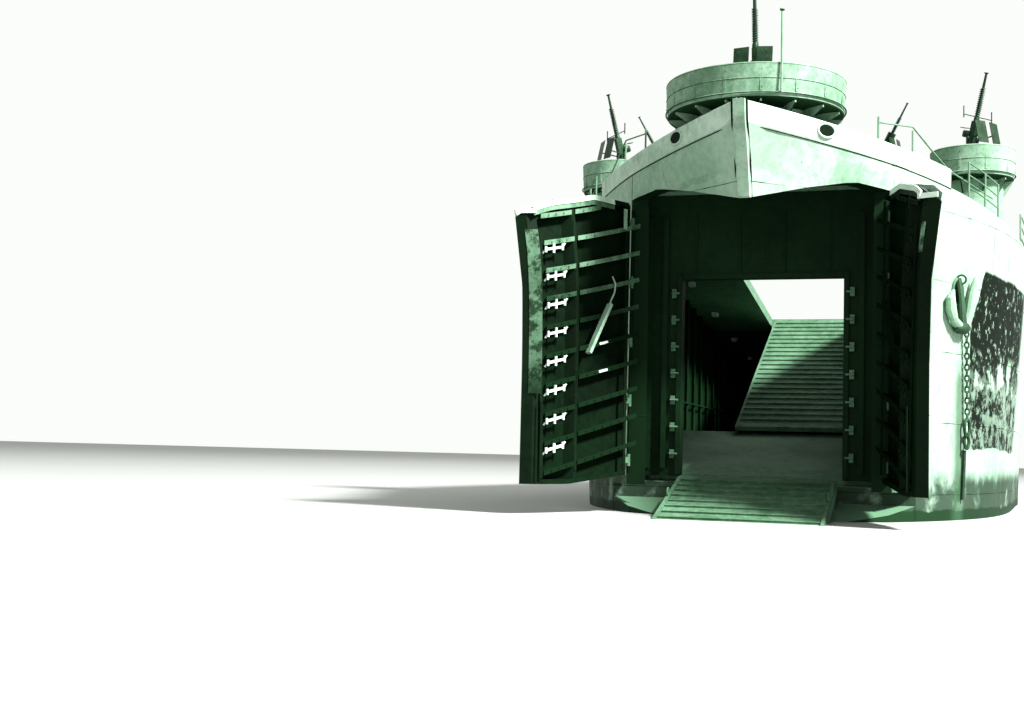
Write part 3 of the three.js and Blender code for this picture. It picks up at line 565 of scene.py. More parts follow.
# Each look as the slot it fills, how it is made, its light and dark levels, and what it adds
PLATES = (0.42, 0.19)
LOOKS = {
    "hull_paint": ("hull", painted, 0.34, 0.23, {
        "plates": PLATES, "hull": True, "streaks": 0.6, "stains": 0.6}),
    "leaf_paint": ("hull", painted, 0.34, 0.23, {
        "stain_and_shade": 0.03, "plates": PLATES, "streaks": 0.6, "stains": 0.6, "fade": (0.22, 0.29)}),
    "shell_paint": ("hull", painted, 0.35, 0.19, {"hull": True, "streaks": 0.3}),
    "band_paint": ("hull", painted, 0.48, 0.3, {"stains": 0.7}),
    "bow_inside": ("bow_interior", painted, 0.013, 0.006, {"stain_and_shade": 0.004}),
    "deck_paint": ("deck", painted, 0.17, 0.09, {"stain_and_shade": 0.035, "rough": 0.8}),
    "door_paint": ("door", painted, 0.005, 0.002, {"stain_and_shade": 0.0015}),
    # The leaf frames darken downwards: painted shade low on the leaf.
    "frame_paint": ("door", painted, 0.16, 0.04, {
        "stain_and_shade": 0.006, "stains": 0.9, "streaks": 0.3, "fade": (0.66, 0.82)}),
    "leaf_strut": ("door", painted, 0.32, 0.18, {"stains": 0.6}),
    "leaf_trim": ("door", painted, 0.15, 0.06, {
        "stain_and_shade": 0.006, "stains": 0.9, "fade": (0.42, 0.62), "worn": 0.85}),
    "ramp_steel": ("ramp", painted, 0.13, 0.05, {"stains": 0.9, "rough": 0.7}),
    "house_paint": ("superstructure", painted, 0.36, 0.25, {"plates": (0.25, 0.23)}),
    # The tubs go near-black on faces turned down: painted shade under them.
    "tub_paint": ("superstructure", painted, 0.27, 0.13, {"streaks": 0.45, "stains": 0.6, "shaded": True}),
    "white_trim": ("superstructure", painted, 0.6, 0.36, {"streaks": 0.3, "stains": 0.6}),
    "rail_paint": ("superstructure", painted, 0.19, 0.1, {"streaks": 0.2, "stains": 0.7}),
    "machinery": ("steel", painted, 0.14, 0.07, {"rough": 0.5}),
    "bottom_paint": ("rudder", painted, 0.07, 0.035, {"rough": 0.7}),
    "gun_steel": ("gunmetal", bare_metal, ink(0.03), ink(0.012), {}),
    "anchor_black": ("anchor", bare_metal, ink(0.045), ink(0.018), {"metallic": 0.3, "rough": 0.7}),
    "worn_bronze": ("bronze", bare_metal, (0.42, 0.3, 0.13), (0.2, 0.15, 0.08), {
        "metallic": 0.9, "rough": 0.4}),
    "glass": ("superstructure", bare_metal, ink(0.02), ink(0.01), {"metallic": 0.0, "rough": 0.25}),
}
MATERIALS = {name: maker(name, light, dark, **more) for name, (_, maker, light, dark, more) in LOOKS.items()}
CAD_LOOKS = {
    "hull": "hull_paint", "bow_interior": "bow_inside", "deck": "deck_paint", "door": "door_paint",
    "ramp": "ramp_steel", "superstructure": "house_paint", "gunmetal": "gun_steel", "steel": "machinery",
    "anchor": "anchor_black", "bronze": "worn_bronze", "rudder": "bottom_paint",
}


def dress_solids():
    for row in frame["record"]["subparts"]:
        node = frame["nodes"][row["node"]]
        node.data.materials.clear()
        node.data.materials.append(MATERIALS[CAD_LOOKS[row["material_slot"]]])


# Hull plating

PLATING_PROUD, PLATING_THICKNESS = 0.006, 0.03


def plating(shape, stations, rows, offset):
    """A skin over the port side, through places in rows from low to high."""
    points = []
    for row in rows:
        points.append([hull_point(station, up, 1, PLATING_PROUD) for station, up in zip(stations, row)])
    return shape.slab(points, offset)


def make_bow_plating():
    """The smooth skin of the bow above the doors and behind them."""
    cheek_start, foot = 3.79, 1.96
    stations = [0.012 * i ** 2 for i in range(18)] + [HINGE_STATION]
    rows = []
    for share in spread(0, 1, 15):
        brow = [brow_height(station) for station in stations]
        rows.append([low + share * (deck_height(station) - low) for station, low in zip(stations, brow)])
    shape = plating(Shape(), stations, rows, (-PLATING_THICKNESS, 0, 0))
    cheek = [cheek_start, 4.1, 4.4, BULKHEAD_STATION - 0.01]
    heights = spread(foot, 10.35, 24)
    plating(shape, cheek, [[up] * len(cheek) for up in heights], (0, -PLATING_THICKNESS, 0))
    make("bow_plating", shape.both(), "shell_paint")


def make_side_plating(name, stations):
    """The smooth skin of one length of both sides, from the bilge to the deck."""
    feet = [bottom_height(station) + BILGE_RADIUS for station in stations]
    rows = []
    for share in spread(0, 1, 26):
        rows.append([foot + share * (deck_height(station) - foot) for station, foot in zip(stations, feet)])
    make(name, plating(Shape(), stations, rows, (0, -PLATING_THICKNESS, 0)).both(), "hull_paint")


# Bow bulwark

def bulwark_point(station, rise, inner=0.0):
    """A place on the bulwark at a height above the deck, inside its outer face."""
    return hull_point(station, deck_height(station) + rise, 1, -inner)


def bulwark_slab(shape, rows):
    """The bulwark's plate, which has its thickness inwards except at the stem."""
    thick = [[corner + Vector((-0.05, -0.07 if corner.y > 0.1 else 0, 0)) for corner in row] for row in rows]
    first = len(shape.corners)
    shape.slab(rows, (0, 0, 0))
    inner = [corner for row in thick for corner in row]
    shape.corners[first + len(inner):] = inner


def make_bulwark():
    """The bright plate around the bow with a rolled cap, brackets inside, and rims around the chocks."""
    stations = [0.0, 0.02, 0.05, 0.1] + spread(0.2, BULWARK_END, 60)
    cap = BULWARK_HEIGHT - 0.04
    shape = Shape()
    rises = [0.004 + share * cap for share in spread(0, 1, 7)]
    bulwark_slab(shape, [[bulwark_point(station, rise, -0.004) for station in stations] for rise in rises])
    shape.tube([bulwark_point(station, cap, 0.045) for station in stations], 0.035, 10)
    for station in spread(0.9, 5.7, 9):
        foot = [bulwark_point(station, 0.03, inner) for inner in (0.11, 0.34)]
        head = [bulwark_point(station, BULWARK_HEIGHT - 0.1, inner) for inner in (0.11, 0.15)]
        shape.slab([foot, head], (-0.02, 0, 0))
    place, outward = hull_place(CHOCK, 1, 0.01)
    radius, stretch = CHOCK["height"] / 2, (CHOCK["length"] / CHOCK["height"], 1)
    for depth in (0.0, 0.12):
        shape.ring(place - outward * depth, outward, radius, 0.03, 28, stretch)
    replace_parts(make("bulwark_plating", shape.both(), "band_paint"), "bulwark")
    # Near-black discs fill the chock openings, painted shade; the dark line just under the bulwark is its
    # seam.
    dark = Shape().disc(place + outward * 0.006, outward, radius, stretch)
    dark.disc(place - outward * 0.13, -outward, radius, stretch)
    dark.tube([bulwark_point(station, -0.03, -0.012) for station in stations], 0.014, 6)
    make("chock_shade_and_seam", dark.both(), "door_paint")


def make_stem_bar():
    """The bar over the stem above the doors, with a dark line of painted shade down each edge."""
    lines = Shape()
    heights = spread(brow_height(0) + 0.02, STEM_HEIGHT + BULWARK_HEIGHT - 0.03, 24)
    section = [(0.12, -0.17), (-0.045, -0.14), (-0.045, 0.14), (0.12, 0.17)]
    rows = [[at(stem_station(up) + reach, port, up) for reach, port in section] for up in heights]
    bar = Shape().slab(rows, (-0.03, 0, 0))
    # Near-black tubes along both edges of the bar: painted shade in the creases where it meets the plating.
    for side in (-1, 1):
        lines.tube([at(stem_station(up) + 0.07, side * 0.185, up) for up in heights], 0.022, 6)
    make("stem_bar", bar, "shell_paint")
    make("stem_edge_shade", lines, "door_paint")


# Gun tubs

# Tubs as name, aft, port, radius, deck under it, floor, rim, foot radius
TUBS = [
    ("bow_gun_tub", 2.78, 0, 2.31, 10.7, 11.6, 12.35, 1.617),
    ("side_tub_port", 11, 5.5, 1.25, 9.65, 11.4, 12.2, 0.9),
    ("side_tub_starboard", 11, -5.5, 1.25, 9.65, 11.4, 12.2, 0.9),
    ("stern_gun_tub", 94.4, 0, 2.3, 7.67, 9.9, 11.1, 1.61),
]


def gusset(shape, centre, inner, outer, top, depth):
    """A triangular bracket below a floor, in the plane of the centre's X and Z axes."""
    outline = [(inner, top), (outer, top), (outer, top - 0.06), (inner, top - depth)]
    corners = [centre @ Vector((x, side * 0.02, z)) for side in (-1, 1) for x, z in outline]
    shape.add(corners, [(0, 1, 2, 3), (7, 6, 5, 4), (0, 4, 5, 1), (1, 5, 6, 2), (2, 6, 7, 3), (3, 7, 4, 0)])


def make_tubs():
    """Splinter shields with a rolled rim, stiffening, brackets below and lockers inside."""
    for name, aft, port, radius, under, floor, rim, foot in TUBS:
        middle = stand(aft, port)
        large = radius > 2
        shape = Shape().turned(middle, [
            (0.01, under - 0.2), (foot, under - 0.2), (foot, floor - 0.17), (foot + 0.05, floor - 0.14),
            (radius - 0.07, floor - 0.1), (radius - 0.05, floor - 0.07), (radius - 0.01, rim - 0.02),
            (radius - 0.05, rim), (radius - 0.09, rim - 0.02), (radius - 0.14, floor + 0.03),
            (radius - 0.17, floor), (0.01, floor),
        ], 72)
        half_way = (rim + floor) / 2
        hoops = [(0.04, rim - 0.015, 0.035), (0.012, floor + 0.02, 0.02), (0.03, half_way, 0.014)]
        for inset, up, thickness in hoops:
            shape.turned(middle, ring_profile(radius - inset, up, thickness), 72)
        for centre in around(middle, 16 if large else 10, "Z", 0.5):
            gusset(shape, centre, foot - 0.02, radius - 0.1, floor - 0.12, 0.42 if large else 0.5)
            shape.blocks(centre, (radius - 0.028, 0, half_way, 0.012, 0.07, rim - floor - 0.12))
            for level in (0.2, 0.5, 0.8):
                up = floor + level * (rim - floor)
                shape.blocks(centre, (radius - 0.025, 0.02, up, 0.03, 0.025, 0.025))
        for i in range(5):
            locker_place = middle @ spin(math.pi + (i - 2) * 0.33, "Z") @ move(radius - 0.32, 0, floor + 0.24)
            shape.blocks(locker_place, (0, 0, 0, 0.2, 0.34, 0.48), (0, 0, 0.26, 0.24, 0.38, 0.04))
        if name == "bow_gun_tub":
            foot_place, head = at(0.62, 0.92, floor), at(0.62, 0.92, floor + 2.05)
            shape.rod(foot_place, head, 0.025)
            shape.turned(Matrix.Translation(head), ring_profile(0.03, 0, 0.035), 12)
        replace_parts(make(name + "_plating", shape, "tub_paint", smooth=30), name)


# Guns as name, body, aft, port, floor, barrel, elevation, turned to port, size
GUNS = [
    ("bow_gun", "bow_gun", 2.78, 0, 11.6, 2.6, 78, 0, 1),
    ("side_gun_port", "side_gun_port", 11, 5.5, 11.4, 1.3, 75, 50, 1),
    ("side_gun_starboard", "side_gun_starboard", 11, -5.5, 11.4, 1.3, 75, -50, 1),
    ("stern_gun", "stern_gun", 94.4, 0, 9.9, 2.6, 25, 180, 1),
    ("light_gun_port", "hull", 6, 3.1, 10.1, 0.95, 60, 65, 0.62),
    ("light_gun_starboard", "hull", 6, -3.1, 10.1, 0.95, 60, -65, 0.62),
]


def gun_stand(shape, middle, base, axle, s):
    """A cone-shaped stand, bolted down."""
    shape.turned(middle, [
        (0.01, base), (0.5 * s, base), (0.5 * s, base + 0.05), (0.36 * s, base + 0.1),
        (0.24 * s, base + 0.32), (0.17 * s, base + 0.6), (0.16 * s, axle - 0.32), (0.24 * s, axle - 0.3),
        (0.24 * s, axle - 0.2), (0.01, axle - 0.18),
    ], 24)
    for turn in around(middle, 8):
        shape.blocks(turn, (0.43 * s, 0, base + 0.06, 0.05, 0.05, 0.05))


def scaled(rows, s):
    return [tuple(value * s for value in row) for row in rows]


def gun_barrel(shape, gun, barrel, s):
    """Receiver, barrel, recoil spring, drum, shoulder rests and ring sight."""
    shape.blocks(gun, *scaled([(0.05, 0, 0, 0.95, 0.17, 0.2), (-0.4, 0, 0.02, 0.18, 0.14, 0.26)], s))
    jacket = scaled([(0.085, 0.5), (0.085, 0.62), (0.06, 0.66), (0.06, 1.1), (0.05, 1.14)], s)
    muzzle = [(r, up + barrel) for r, up in scaled([(0.035, 0.66), (0.055, 0.67), (0.075, 0.7)], s)]
    profile = [(0.01, 0.5 * s), *jacket, *muzzle, (0.01, 0.7 * s + barrel)]
    shape.turned(gun @ spin(math.pi / 2, "Y"), profile, 20)
    coil, pitch, windings = 0.075 * s, 0.0311 * s, 14
    turns = [i / 4 * math.pi for i in range(8 * windings)]
    spring = [Vector((0.66 * s + pitch * t / math.pi, coil * math.cos(t), coil * math.sin(t))) for t in turns]
    shape.tube([gun @ place for place in spring], 0.014 * s, 6)
    drum = scaled([(0.15, -0.1), (0.17, -0.07), (0.17, 0.07), (0.15, 0.1)], s)
    drum_place = gun @ move(0.12 * s, 0, 0.2 * s) @ spin(math.pi / 2, "Y")
    shape.turned(drum_place, [(0.01, -0.1 * s), *drum, (0.01, 0.1 * s)], 24)
    for side in (-1, 1):
        rest = [(-0.4, side * 0.06, -0.02), (-0.58, side * 0.16, 0.0), (-0.64, side * 0.2, -0.12),
                (-0.62, side * 0.2, -0.28)]
        shape.tube([gun @ (Vector(place) * s) for place in rest], 0.025 * s)
    foot, eye = (gun @ (Vector((0.3, 0, up)) * s) for up in (0.1, 0.42))
    shape.rod(foot, eye, 0.012 * s)
    for radius, thickness in ((0.1, 0.008), (0.05, 0.006)):
        shape.ring(eye, gun.to_3x3() @ AHEAD, radius * s, thickness * s)


def gun_shield(shape, carriage, s):
    tilt = carriage @ spin(-math.radians(12), "Y")
    for side in (-1, 1):
        plate = tilt @ move(0.59 * s, side * 0.3 * s, -0.05 * s) @ spin(side * 0.12, "Z")
        shape.blocks(plate, *scaled([(0, 0, 0, 0.02, 0.4, 0.7), (-0.02, 0, 0.25, 0.02, 0.3, 0.04)], s))
        ends = [tilt @ (Vector(place) * s) for place in ((0.58, side * 0.26, -0.1), (0, side * 0.22, -0.05))]
        shape.bar(*ends, 0.04 * s, 0.03 * s)


def make_guns():
    """Pedestal guns. The side guns have a sight bar, and the light guns have handles."""
    for name, body, aft, port, floor, barrel, elevation, turn, s in GUNS:
        base = floor + 0.004
        axle = base + 1.25 * max(s, 0.95)
        shape = Shape()
        gun_stand(shape, stand(aft, port), base, axle, s)
        carriage = stand(aft, port, axle) @ spin(math.radians(turn), "Z")
        for side in (-1, 1):
            arm = [(0, side * 0.12 * s, -0.24), (0, side * 0.22 * s, -0.18), (0, side * 0.22 * s, 0.04)]
            shape.tube([carriage @ Vector(place) for place in arm], 0.05 * s)
        gun = carriage @ spin(-math.radians(elevation), "Y")
        gun_barrel(shape, gun, barrel, s)
        gun_shield(shape, carriage, s)
        if name.startswith("side"):
            sight = carriage @ move(0.2, 0, 0.62)
            for start, end, radius in (
                    ((0, -0.66, 0), (0, 0.66, 0), 0.016), ((0, -0.64, -0.1), (0, -0.64, 0.26), 0.018),
                    ((0, 0.64, -0.1), (0, 0.64, 0.26), 0.018)):
                shape.rod(sight @ Vector(start), sight @ Vector(end), radius, 6)
        if name.startswith("light"):
            shape.rod(gun @ Vector((-0.1, 0, 0)), gun @ Vector((-0.1, 0.5, 0.05)), 0.05)
            shape.rod(gun @ Vector((-0.4, 0, 0)), gun @ Vector((0.5, 0, 0)), 0.11)
        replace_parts(make(name + "_gun", shape, "gun_steel", body), name)


# Bow doors, with the leaf as it is when closed to port

HINGE_AXIS = at(HINGE_STATION + 0.03, deck_half(HINGE_STATION) + 0.02, 0)


def leaf_outer(station, up, proud):
    """A place on the leaf's outer face, which is flat as far as its first frame."""
    line = []
    for reach in (station, station + 0.05):
        share = min(1, reach / LEAF_FLAT)
        flat = half_at(0, up) * (1 - share) + half_at(LEAF_FLAT, up) * share
        line.append(at(station_at(reach, up), flat if share < 1 else half_at(reach, up), up))
    outward = Vector((line[1].y - line[0].y, line[0].x - line[1].x, 0)).normalized()
    place = line[0] + proud * outward
    return Vector((place.x, max(DOOR_MEETING, place.y), up))


def leaf_inner(port, up, proud=0.0):
    """A place on the leaf's inner face, proud of it by a little."""
    station = BOW_LENGTH * (1 - (1 - (port + DOOR_THICKNESS) / HALF_BEAM) ** (1 / BOW_FULLNESS))
    return at(station_at(station, up) + DOOR_THICKNESS + 0.7 * proud, port - 0.7 * proud, up)


def leaf_line(ports, height, proud=0.0):
    """Places across the inner face, where height gives the height at a distance aft."""
    line = []
    for port in ports:
        up = 6.0
        for _ in range(4):
            up = height(STEM_AHEAD - leaf_inner(port, up).x)
        line.append(leaf_inner(port, up, proud))
    return line


def open_matrix(side):
    """Turns a closed leaf to where it stands."""
    hand = 1 if side == "port" else -1
    axis = Vector((HINGE_AXIS.x, hand * HINGE_AXIS.y, 0))
    turn = spin(math.radians(hand * DOOR_OPEN[side]), "Z")
    return Matrix.Translation(axis) @ turn @ Matrix.Translation(-axis)


def rib_line(row, ports, shift=0.0, proud=0.0):
    """Places along one rib, left out where the rib runs into the leaf's rim."""
    foot, head = DOOR_FOOT[2][1], DOOR_HEAD[4][1]
    base = foot + row * (head - foot) / DOOR_RIBS + DOOR_RIB_WIDTH / 2
    inside = []
    for point in leaf_line(ports, lambda aft: base - DOOR_RIB_SLOPE * (HINGE_STATION - aft), proud):
        aft = STEM_AHEAD - point.x
        if between(DOOR_FOOT, aft) + 0.12 < point.z < between(DOOR_HEAD, aft) - 0.3:
            inside.append(point + shift * UP)
    return inside


def leaf_outside():
    """The leaf's outer plating."""
    stations = [0.02, 0.05] + spread(0.1, HINGE_STATION - 0.06, 26)
    rows = []
    for share in spread(0, 1, 30):
        row = []
        for station in stations:
            place = station_at(station, 5)
            low, high = between(DOOR_FOOT, place), between(DOOR_HEAD, place)
            row.append(leaf_outer(station, low + share * (high - low), LEAF_SKIN_PROUD))
        rows.append(row)
    return Shape().slab(rows, (-LEAF_SKIN_DEPTH, -LEAF_SKIN_DEPTH, 0))


def head_strip(shape, low, high, proud, depth):
    """A flat strip across the inner face, between two depths below the head."""
    ports = spread(0.07, 2.45, 14)
    rows = [leaf_line(ports, lambda aft: between(DOOR_HEAD, aft) - drop, proud) for drop in (low, high)]
    return shape.slab(rows, (-depth, -depth, 0))


def leaf_frames():
    """Flanges on the ribs and on the web between the two bays."""
    shape = Shape()
    for row in range(DOOR_RIBS + 2):
        for ports in (spread(0.27, 1.24, 5), spread(1.35, 3.1, 8)):
            line = rib_line(row, ports, 0, 0.02)
            if len(line) < 2:
                continue
            shape.slab([[point + rise * UP for point in line] for rise in (-0.06, 0.06)], (-0.015, -0.015, 0))
            for point in line[1:-1]:
                shape.block(Matrix.Translation(point + Vector((-0.025, -0.025, 0))), 0.03, 0.03, 0.04)
    return head_strip(shape, 0.28, 0.15, 0.02, 0.02)


def leaf_web():
    """The flange of the web, the plain stiles, the rubber seal and the hinge tube."""
    shape = Shape()
    for port, low, high, width in ((1.295, 2.3, 8.75, 0.07), (2.78, 2.4, 9.2, 0.08), (0.2, 2.1, 8.2, 0.08)):
        shape.bar(leaf_inner(port, low, 0.02), leaf_inner(port, high, 0.02), width, 0.02, (1, 1, 0))
    shape.tube([at(stem_station(up) + 0.5, DOOR_MEETING - 0.01, up) for up in spread(2.05, 4, 8)], 0.02)
    return shape.rod(HINGE_AXIS + 2.25 * UP, HINGE_AXIS + 9.4 * UP, 0.05, 12)


def head_band():
    """The bright angle bar along the head of the leaf, and over its meeting edge."""
    shape = head_strip(Shape(), 0.15, 0.01, 0.03, 0.03)
    aft = stem_station(8.5)
    top = between(DOOR_HEAD, aft + 0.3) - 0.02
    return shape.box(aft + 0.02, aft + 0.5, DOOR_MEETING - 0.03, DOOR_MEETING - 0.005, top - 0.12, top)


def meeting_strip(lit):
    """Worn paint down the meeting edge: its full length on the starboard leaf, and only near the head on the
    port leaf, whose edge is left to painted shade.
    """
    fore, aft, low, high = (0.17, 0.5, 4.2, 8.32) if lit else (0.25, 0.34, 7.5, 8.2)
    rows = []
    for up in spread(low, high, 20):
        rows.append([at(stem_station(up) + reach, DOOR_MEETING - 0.004, up) for reach in (fore, aft)])
    return Shape().slab(rows, (0, -0.01, 0))


def leaf_dogs():
    """Clamps lying along the ribs next to the meeting edge, each with a cross bar and forked ends."""
    shape = Shape()
    for row in range(2, DOOR_RIBS):
        line = rib_line(row, (0.3, 0.56, 0.84), -0.17, 0.07)
        if len(line) < 3:
            continue
        near, middle, far = line
        shape.bar(near, far, 0.05, 0.06)
        for place, height in ((near, 0.15), (middle, 0.24), (far, 0.17)):
            shape.rod(place - height / 2 * UP, place + height / 2 * UP, 0.035)
        shape.rod(near, near + Vector((0.08, 0.02, -0.1)), 0.025)
        shape.rod(far, far + Vector((-0.06, 0.02, 0.1)), 0.025)
    # White pads on two ribs near the strut: painted highlights on the rib flanges.
    for row in (4, 5):
        shape.bar(*rib_line(row, (1.95, 2.2), 0, 0.06), 0.03, 0.06)
    return shape


def leaf_strut():
    """The stay folded against the inside of the leaf, with the wire that holds it."""
    shape = Shape().bar(leaf_inner(2.2, 6.67, 0.14), leaf_inner(1.56, 5.33, 0.14), 0.08, 0.17, (1, 1, 0))
    wire = [(2.3, 7.42), (2.39, 7.22), (2.36, 7.0), (2.22, 6.7)]
    shape.tube([leaf_inner(port, up, 0.1) for port, up in wire], 0.022)
    return shape.bar(leaf_inner(2.71, 8.75, 0.05), leaf_inner(2.73, 9.3, 0.05), 0.11, 0.02, (1, 1, 0))


def leaf_hinges():
    shape = Shape()
    for up in (2.6, 4.2, 5.8, 7.4, 9.0):
        knuckle = HINGE_AXIS + Vector((0, -0.06, up))
        shape.rod(knuckle - 0.16 * UP, knuckle + 0.16 * UP, 0.055, 12)
        shape.bar(HINGE_AXIS + Vector((0, -0.08, up)), HINGE_AXIS + Vector((0.28, -0.4, up)), 0.05, 0.16)
    return shape


def make_doors():
    for side in ("port", "starboard"):
        lit = side == "starboard"
        # The port leaf's frames, dogs and strut take the near-black door paint: painted shade, as that leaf's
        # inner face is turned from the light. The starboard leaf keeps the lit paints.
        pieces = [
            ("skin", leaf_outside(), "leaf_paint"),
            ("frames", leaf_frames(), "frame_paint" if lit else "door_paint"),
            ("web", leaf_web(), "door_paint"),
            ("head", head_band(), "white_trim"),
            ("edge", meeting_strip(lit), "leaf_trim"),
            ("dogs", leaf_dogs(), "white_trim" if lit else "door_paint"),
            ("strut", leaf_strut(), "leaf_strut" if lit else "door_paint"),
            ("hinges", leaf_hinges(), "machinery"),
        ]
        for name, shape, material in pieces:
            leaf = shape.mirrored() if lit else shape
            body = "bow_door_" + side
            make(f"{body}_{name}", Shape().merge(leaf, open_matrix(side)), material, body)


# Bow opening and tank deck

def make_bow_opening():
    """Coaming, clamps and stiffeners on the bulkhead, low enough for the raised ramp."""
    face = BULKHEAD_STATION + 0.002
    shape, trim = Shape(), Shape()
    half, top = OPENING_HALF, OPENING_TOP
    for side in (-1, 1):
        shape.box(face - 0.1, face, side * half, side * (half + 0.13), OPENING_SILL, top + 0.13)
        near = side * (half + 0.22)
        for up in spread(2.8, 7.2, 7):
            trim.box(face - 0.12, face, near - 0.06, near + 0.06, up - 0.12, up + 0.12)
            trim.rod(at(face - 0.16, near - side * 0.16, up), at(face - 0.16, near + side * 0.06, up), 0.03)
        for port in (side * 2.62, side * 3.05):
            shape.box(face - 0.14, face, port - 0.02, port + 0.02, 2.4, 9.3)
            shape.box(face - 0.15, face - 0.13, port - 0.07, port + 0.07, 2.4, 9.3)
    low = face - 0.045
    shape.box(low, face, -half, half, top, top + 0.13)
    for port in spread(-1.8, 1.8, 4):
        shape.box(low, face, port - 0.02, port + 0.02, top + 0.13, 9.4)
    make("bow_opening_frame", shape, "bow_inside")
    make("bow_opening_fittings", trim, "machinery")


def floor_height(aft):
    share = min(1, max(0, (13 - aft) / (13 - BULKHEAD_STATION)))
    return 3.6 - 1.4 * share


def make_tank_deck_fittings():
    """Frames on the side walls, beams under the main deck, lamps and a rail."""
    shape, lamps = Shape(), Shape()
    wall = [(5.0, 2.9), (7.5, 3.9), (10.5, 4.55), (88, 4.55)]
    for aft in spread(6, 86, 55):
        half, low, top = between(wall, aft), floor_height(aft) + 0.02, deck_height(aft) - 0.37
        for side in (-1, 1):
            inner = side * (half - 0.16)
            shape.box(aft - 0.03, aft + 0.03, inner, side * (half - 0.005), low, top)
            shape.box(aft - 0.09, aft + 0.09, inner, inner + side * 0.02, low, top)
        if not DECK_RAMP_FORE < aft < DECK_RAMP_AFT:
            shape.post(aft, 0, top - 0.24, top, 0.06, 2 * half - 0.2)
            shape.post(aft, 0, top - 0.26, top - 0.24, 0.2, 2 * half - 0.2)
    for aft in spread(14, 84, 15):
        for port in (-3.6, 3.6):
            lamps.post(aft, port, deck_height(aft) - 0.75, deck_height(aft) - 0.6, 0.4, 0.2)
    for side in (-1, 1):
        line = []
        for aft in spread(6, 40, 30):
            line.append(at(aft, side * (between(wall, aft) - 0.2), floor_height(aft) + 1.1))
        shape.tube(line, 0.03)
    make("tank_deck_frames", shape, "bow_inside")
    make("tank_deck_lamps", lamps, "white_trim")


def make_ramp_fittings():
    """Side curbs, hinge knuckles, lifting eyes and stiffeners of the bow ramp."""
    half = BOW_RAMP["half"]
    turn = stand(BOW_RAMP["aft"], 0, BOW_RAMP["up"]) @ spin(math.radians(BOW_RAMP["slope"]), "Y")
    shape = Shape()
    for side in (-1, 1):
        for start, end in (((0.5, 0.19), (5.35, 0.18)), ((5.35, 0.15), (6.9, 0.07))):
            ends = [turn @ Vector((reach, side * half, up)) for reach, up in (start, end)]
            shape.bar(*ends, 0.08, 0.1)
        for reach in (2.2, 5.2):
            shape.ring(turn @ Vector((reach, side * half, 0.32)), TO_PORT, 0.1, 0.025)
    for port in spread(-1.7, 1.7, 7):
        shape.rod(*(turn @ Vector((-0.02, port + end, -0.02)) for end in (-0.12, 0.12)), 0.13, 14)
    for reach in spread(1.0, 5.8, 5):
        shape.bar(*(turn @ Vector((reach, port, -0.22)) for port in (-half, half)), 0.06, 0.14)
    make("bow_ramp_fittings", shape, "ramp_steel", "bow_ramp")


# Anchors and rails

# Anchor outlines on the side plating as (aft, up, radius), from the crown to the tip
FLUKES = [
    [(6.3, 6.42, 0.13), (6.02, 6.56, 0.12), (5.86, 6.85, 0.15), (5.84, 7.12, 0.13), (5.97, 7.38, 0.04)],
    [(6.62, 6.44, 0.12), (6.8, 6.75, 0.12), (6.92, 7.15, 0.15), (7.05, 7.6, 0.1), (7.12, 7.86, 0.03)],
]
CHAIN = {"top": (6.78, 6.42), "low": (6.96, 4.0), "links": 17}
HAWSE = {"aft": 6.45, "up": 7.36, "radius": 0.36, "stretch": (0.85, 1.05)}


def make_anchor(side):
    """A stockless anchor housed against the plating: dark shank and crown, and two light flukes."""
    anchor = Shape()
    shank = [hull_point(6.45, up, side, proud) for up, proud in ((7.75, 0.02), (7.2, 0.12), (6.45, 0.17))]
    anchor.tube(shank, [0.09, 0.1, 0.13], 10)
    crown = [hull_point(aft, 6.4, side, 0.16) for aft in (6.12, 6.3, 6.6, 6.78)]
    anchor.tube(crown, [0.08, 0.17, 0.17, 0.08], 12)
    anchor.ring(hull_point(6.45, 7.72, side, 0.12), AHEAD, 0.12, 0.03)
    dark_faces = len(anchor.faces)
    for fluke in FLUKES:
        radii = [radius for *_, radius in fluke]
        anchor.tube([hull_point(aft, up, side, 0.17) for aft, up, _ in fluke], radii, 10)
    name = "port" if side == 1 else "starboard"
    piece = make("anchor_" + name, anchor, "anchor_black", smooth=30)
    piece.data.materials.append(MATERIALS["leaf_strut"])
    for face in piece.data.polygons[dark_faces:]:
        face.material_index = 1
    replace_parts(piece, "bow_anchor_" + name)


def make_anchor_gear():
    """Hawse rims with near-black discs of painted shade in the mouths, the anchors housed in them, and the
    chain that hangs to port.
    """
    rims, mouths, chain = Shape(), Shape(), Shape()
    for side in (1, -1):
        mouth, outward = hull_place(HAWSE, side, 0.015)
        rims.ring(mouth, outward, HAWSE["radius"], 0.05, 28, HAWSE["stretch"])
        # A near-black disc in each hawse mouth: painted shade inside the pipe.
        mouths.disc(mouth + outward * 0.012, outward, HAWSE["radius"], HAWSE["stretch"])
        make_anchor(side)
    (top_aft, top_up), (low_aft, low_up), links = CHAIN["top"], CHAIN["low"], CHAIN["links"]
    for i, (aft, up) in enumerate(zip(spread(top_aft, low_aft, links), spread(top_up, low_up, links))):
        normal = (1, 0.25, 0) if i % 2 else (0.25, 1, 0)
        chain.ring(hull_point(aft, up, 1, 0.13), normal, 0.085, 0.024, 14, (0.65, 1.15))
    for up, size in ((3.72, 0.2), (3.34, 0.17)):
        centre = hull_point(low_aft, up, 1, 0.13)
        chain.ring(centre, (0.5, 1, 0), size, 0.045, 18, (0.72, 1.15))
        chain.rod(centre - Vector((0.17, 0, size)), centre + Vector((0.17, 0, -size)), 0.05)
    chain.rod(hull_point(low_aft, 3.1, 1, 0.08), hull_point(low_aft, 1.75, 1, 0.06), 0.05)
    make("hawse_rims", rims, "machinery")
    make("hawse_mouth_shade", mouths, "door_paint")
    make("bow_chain", chain, "anchor_black")


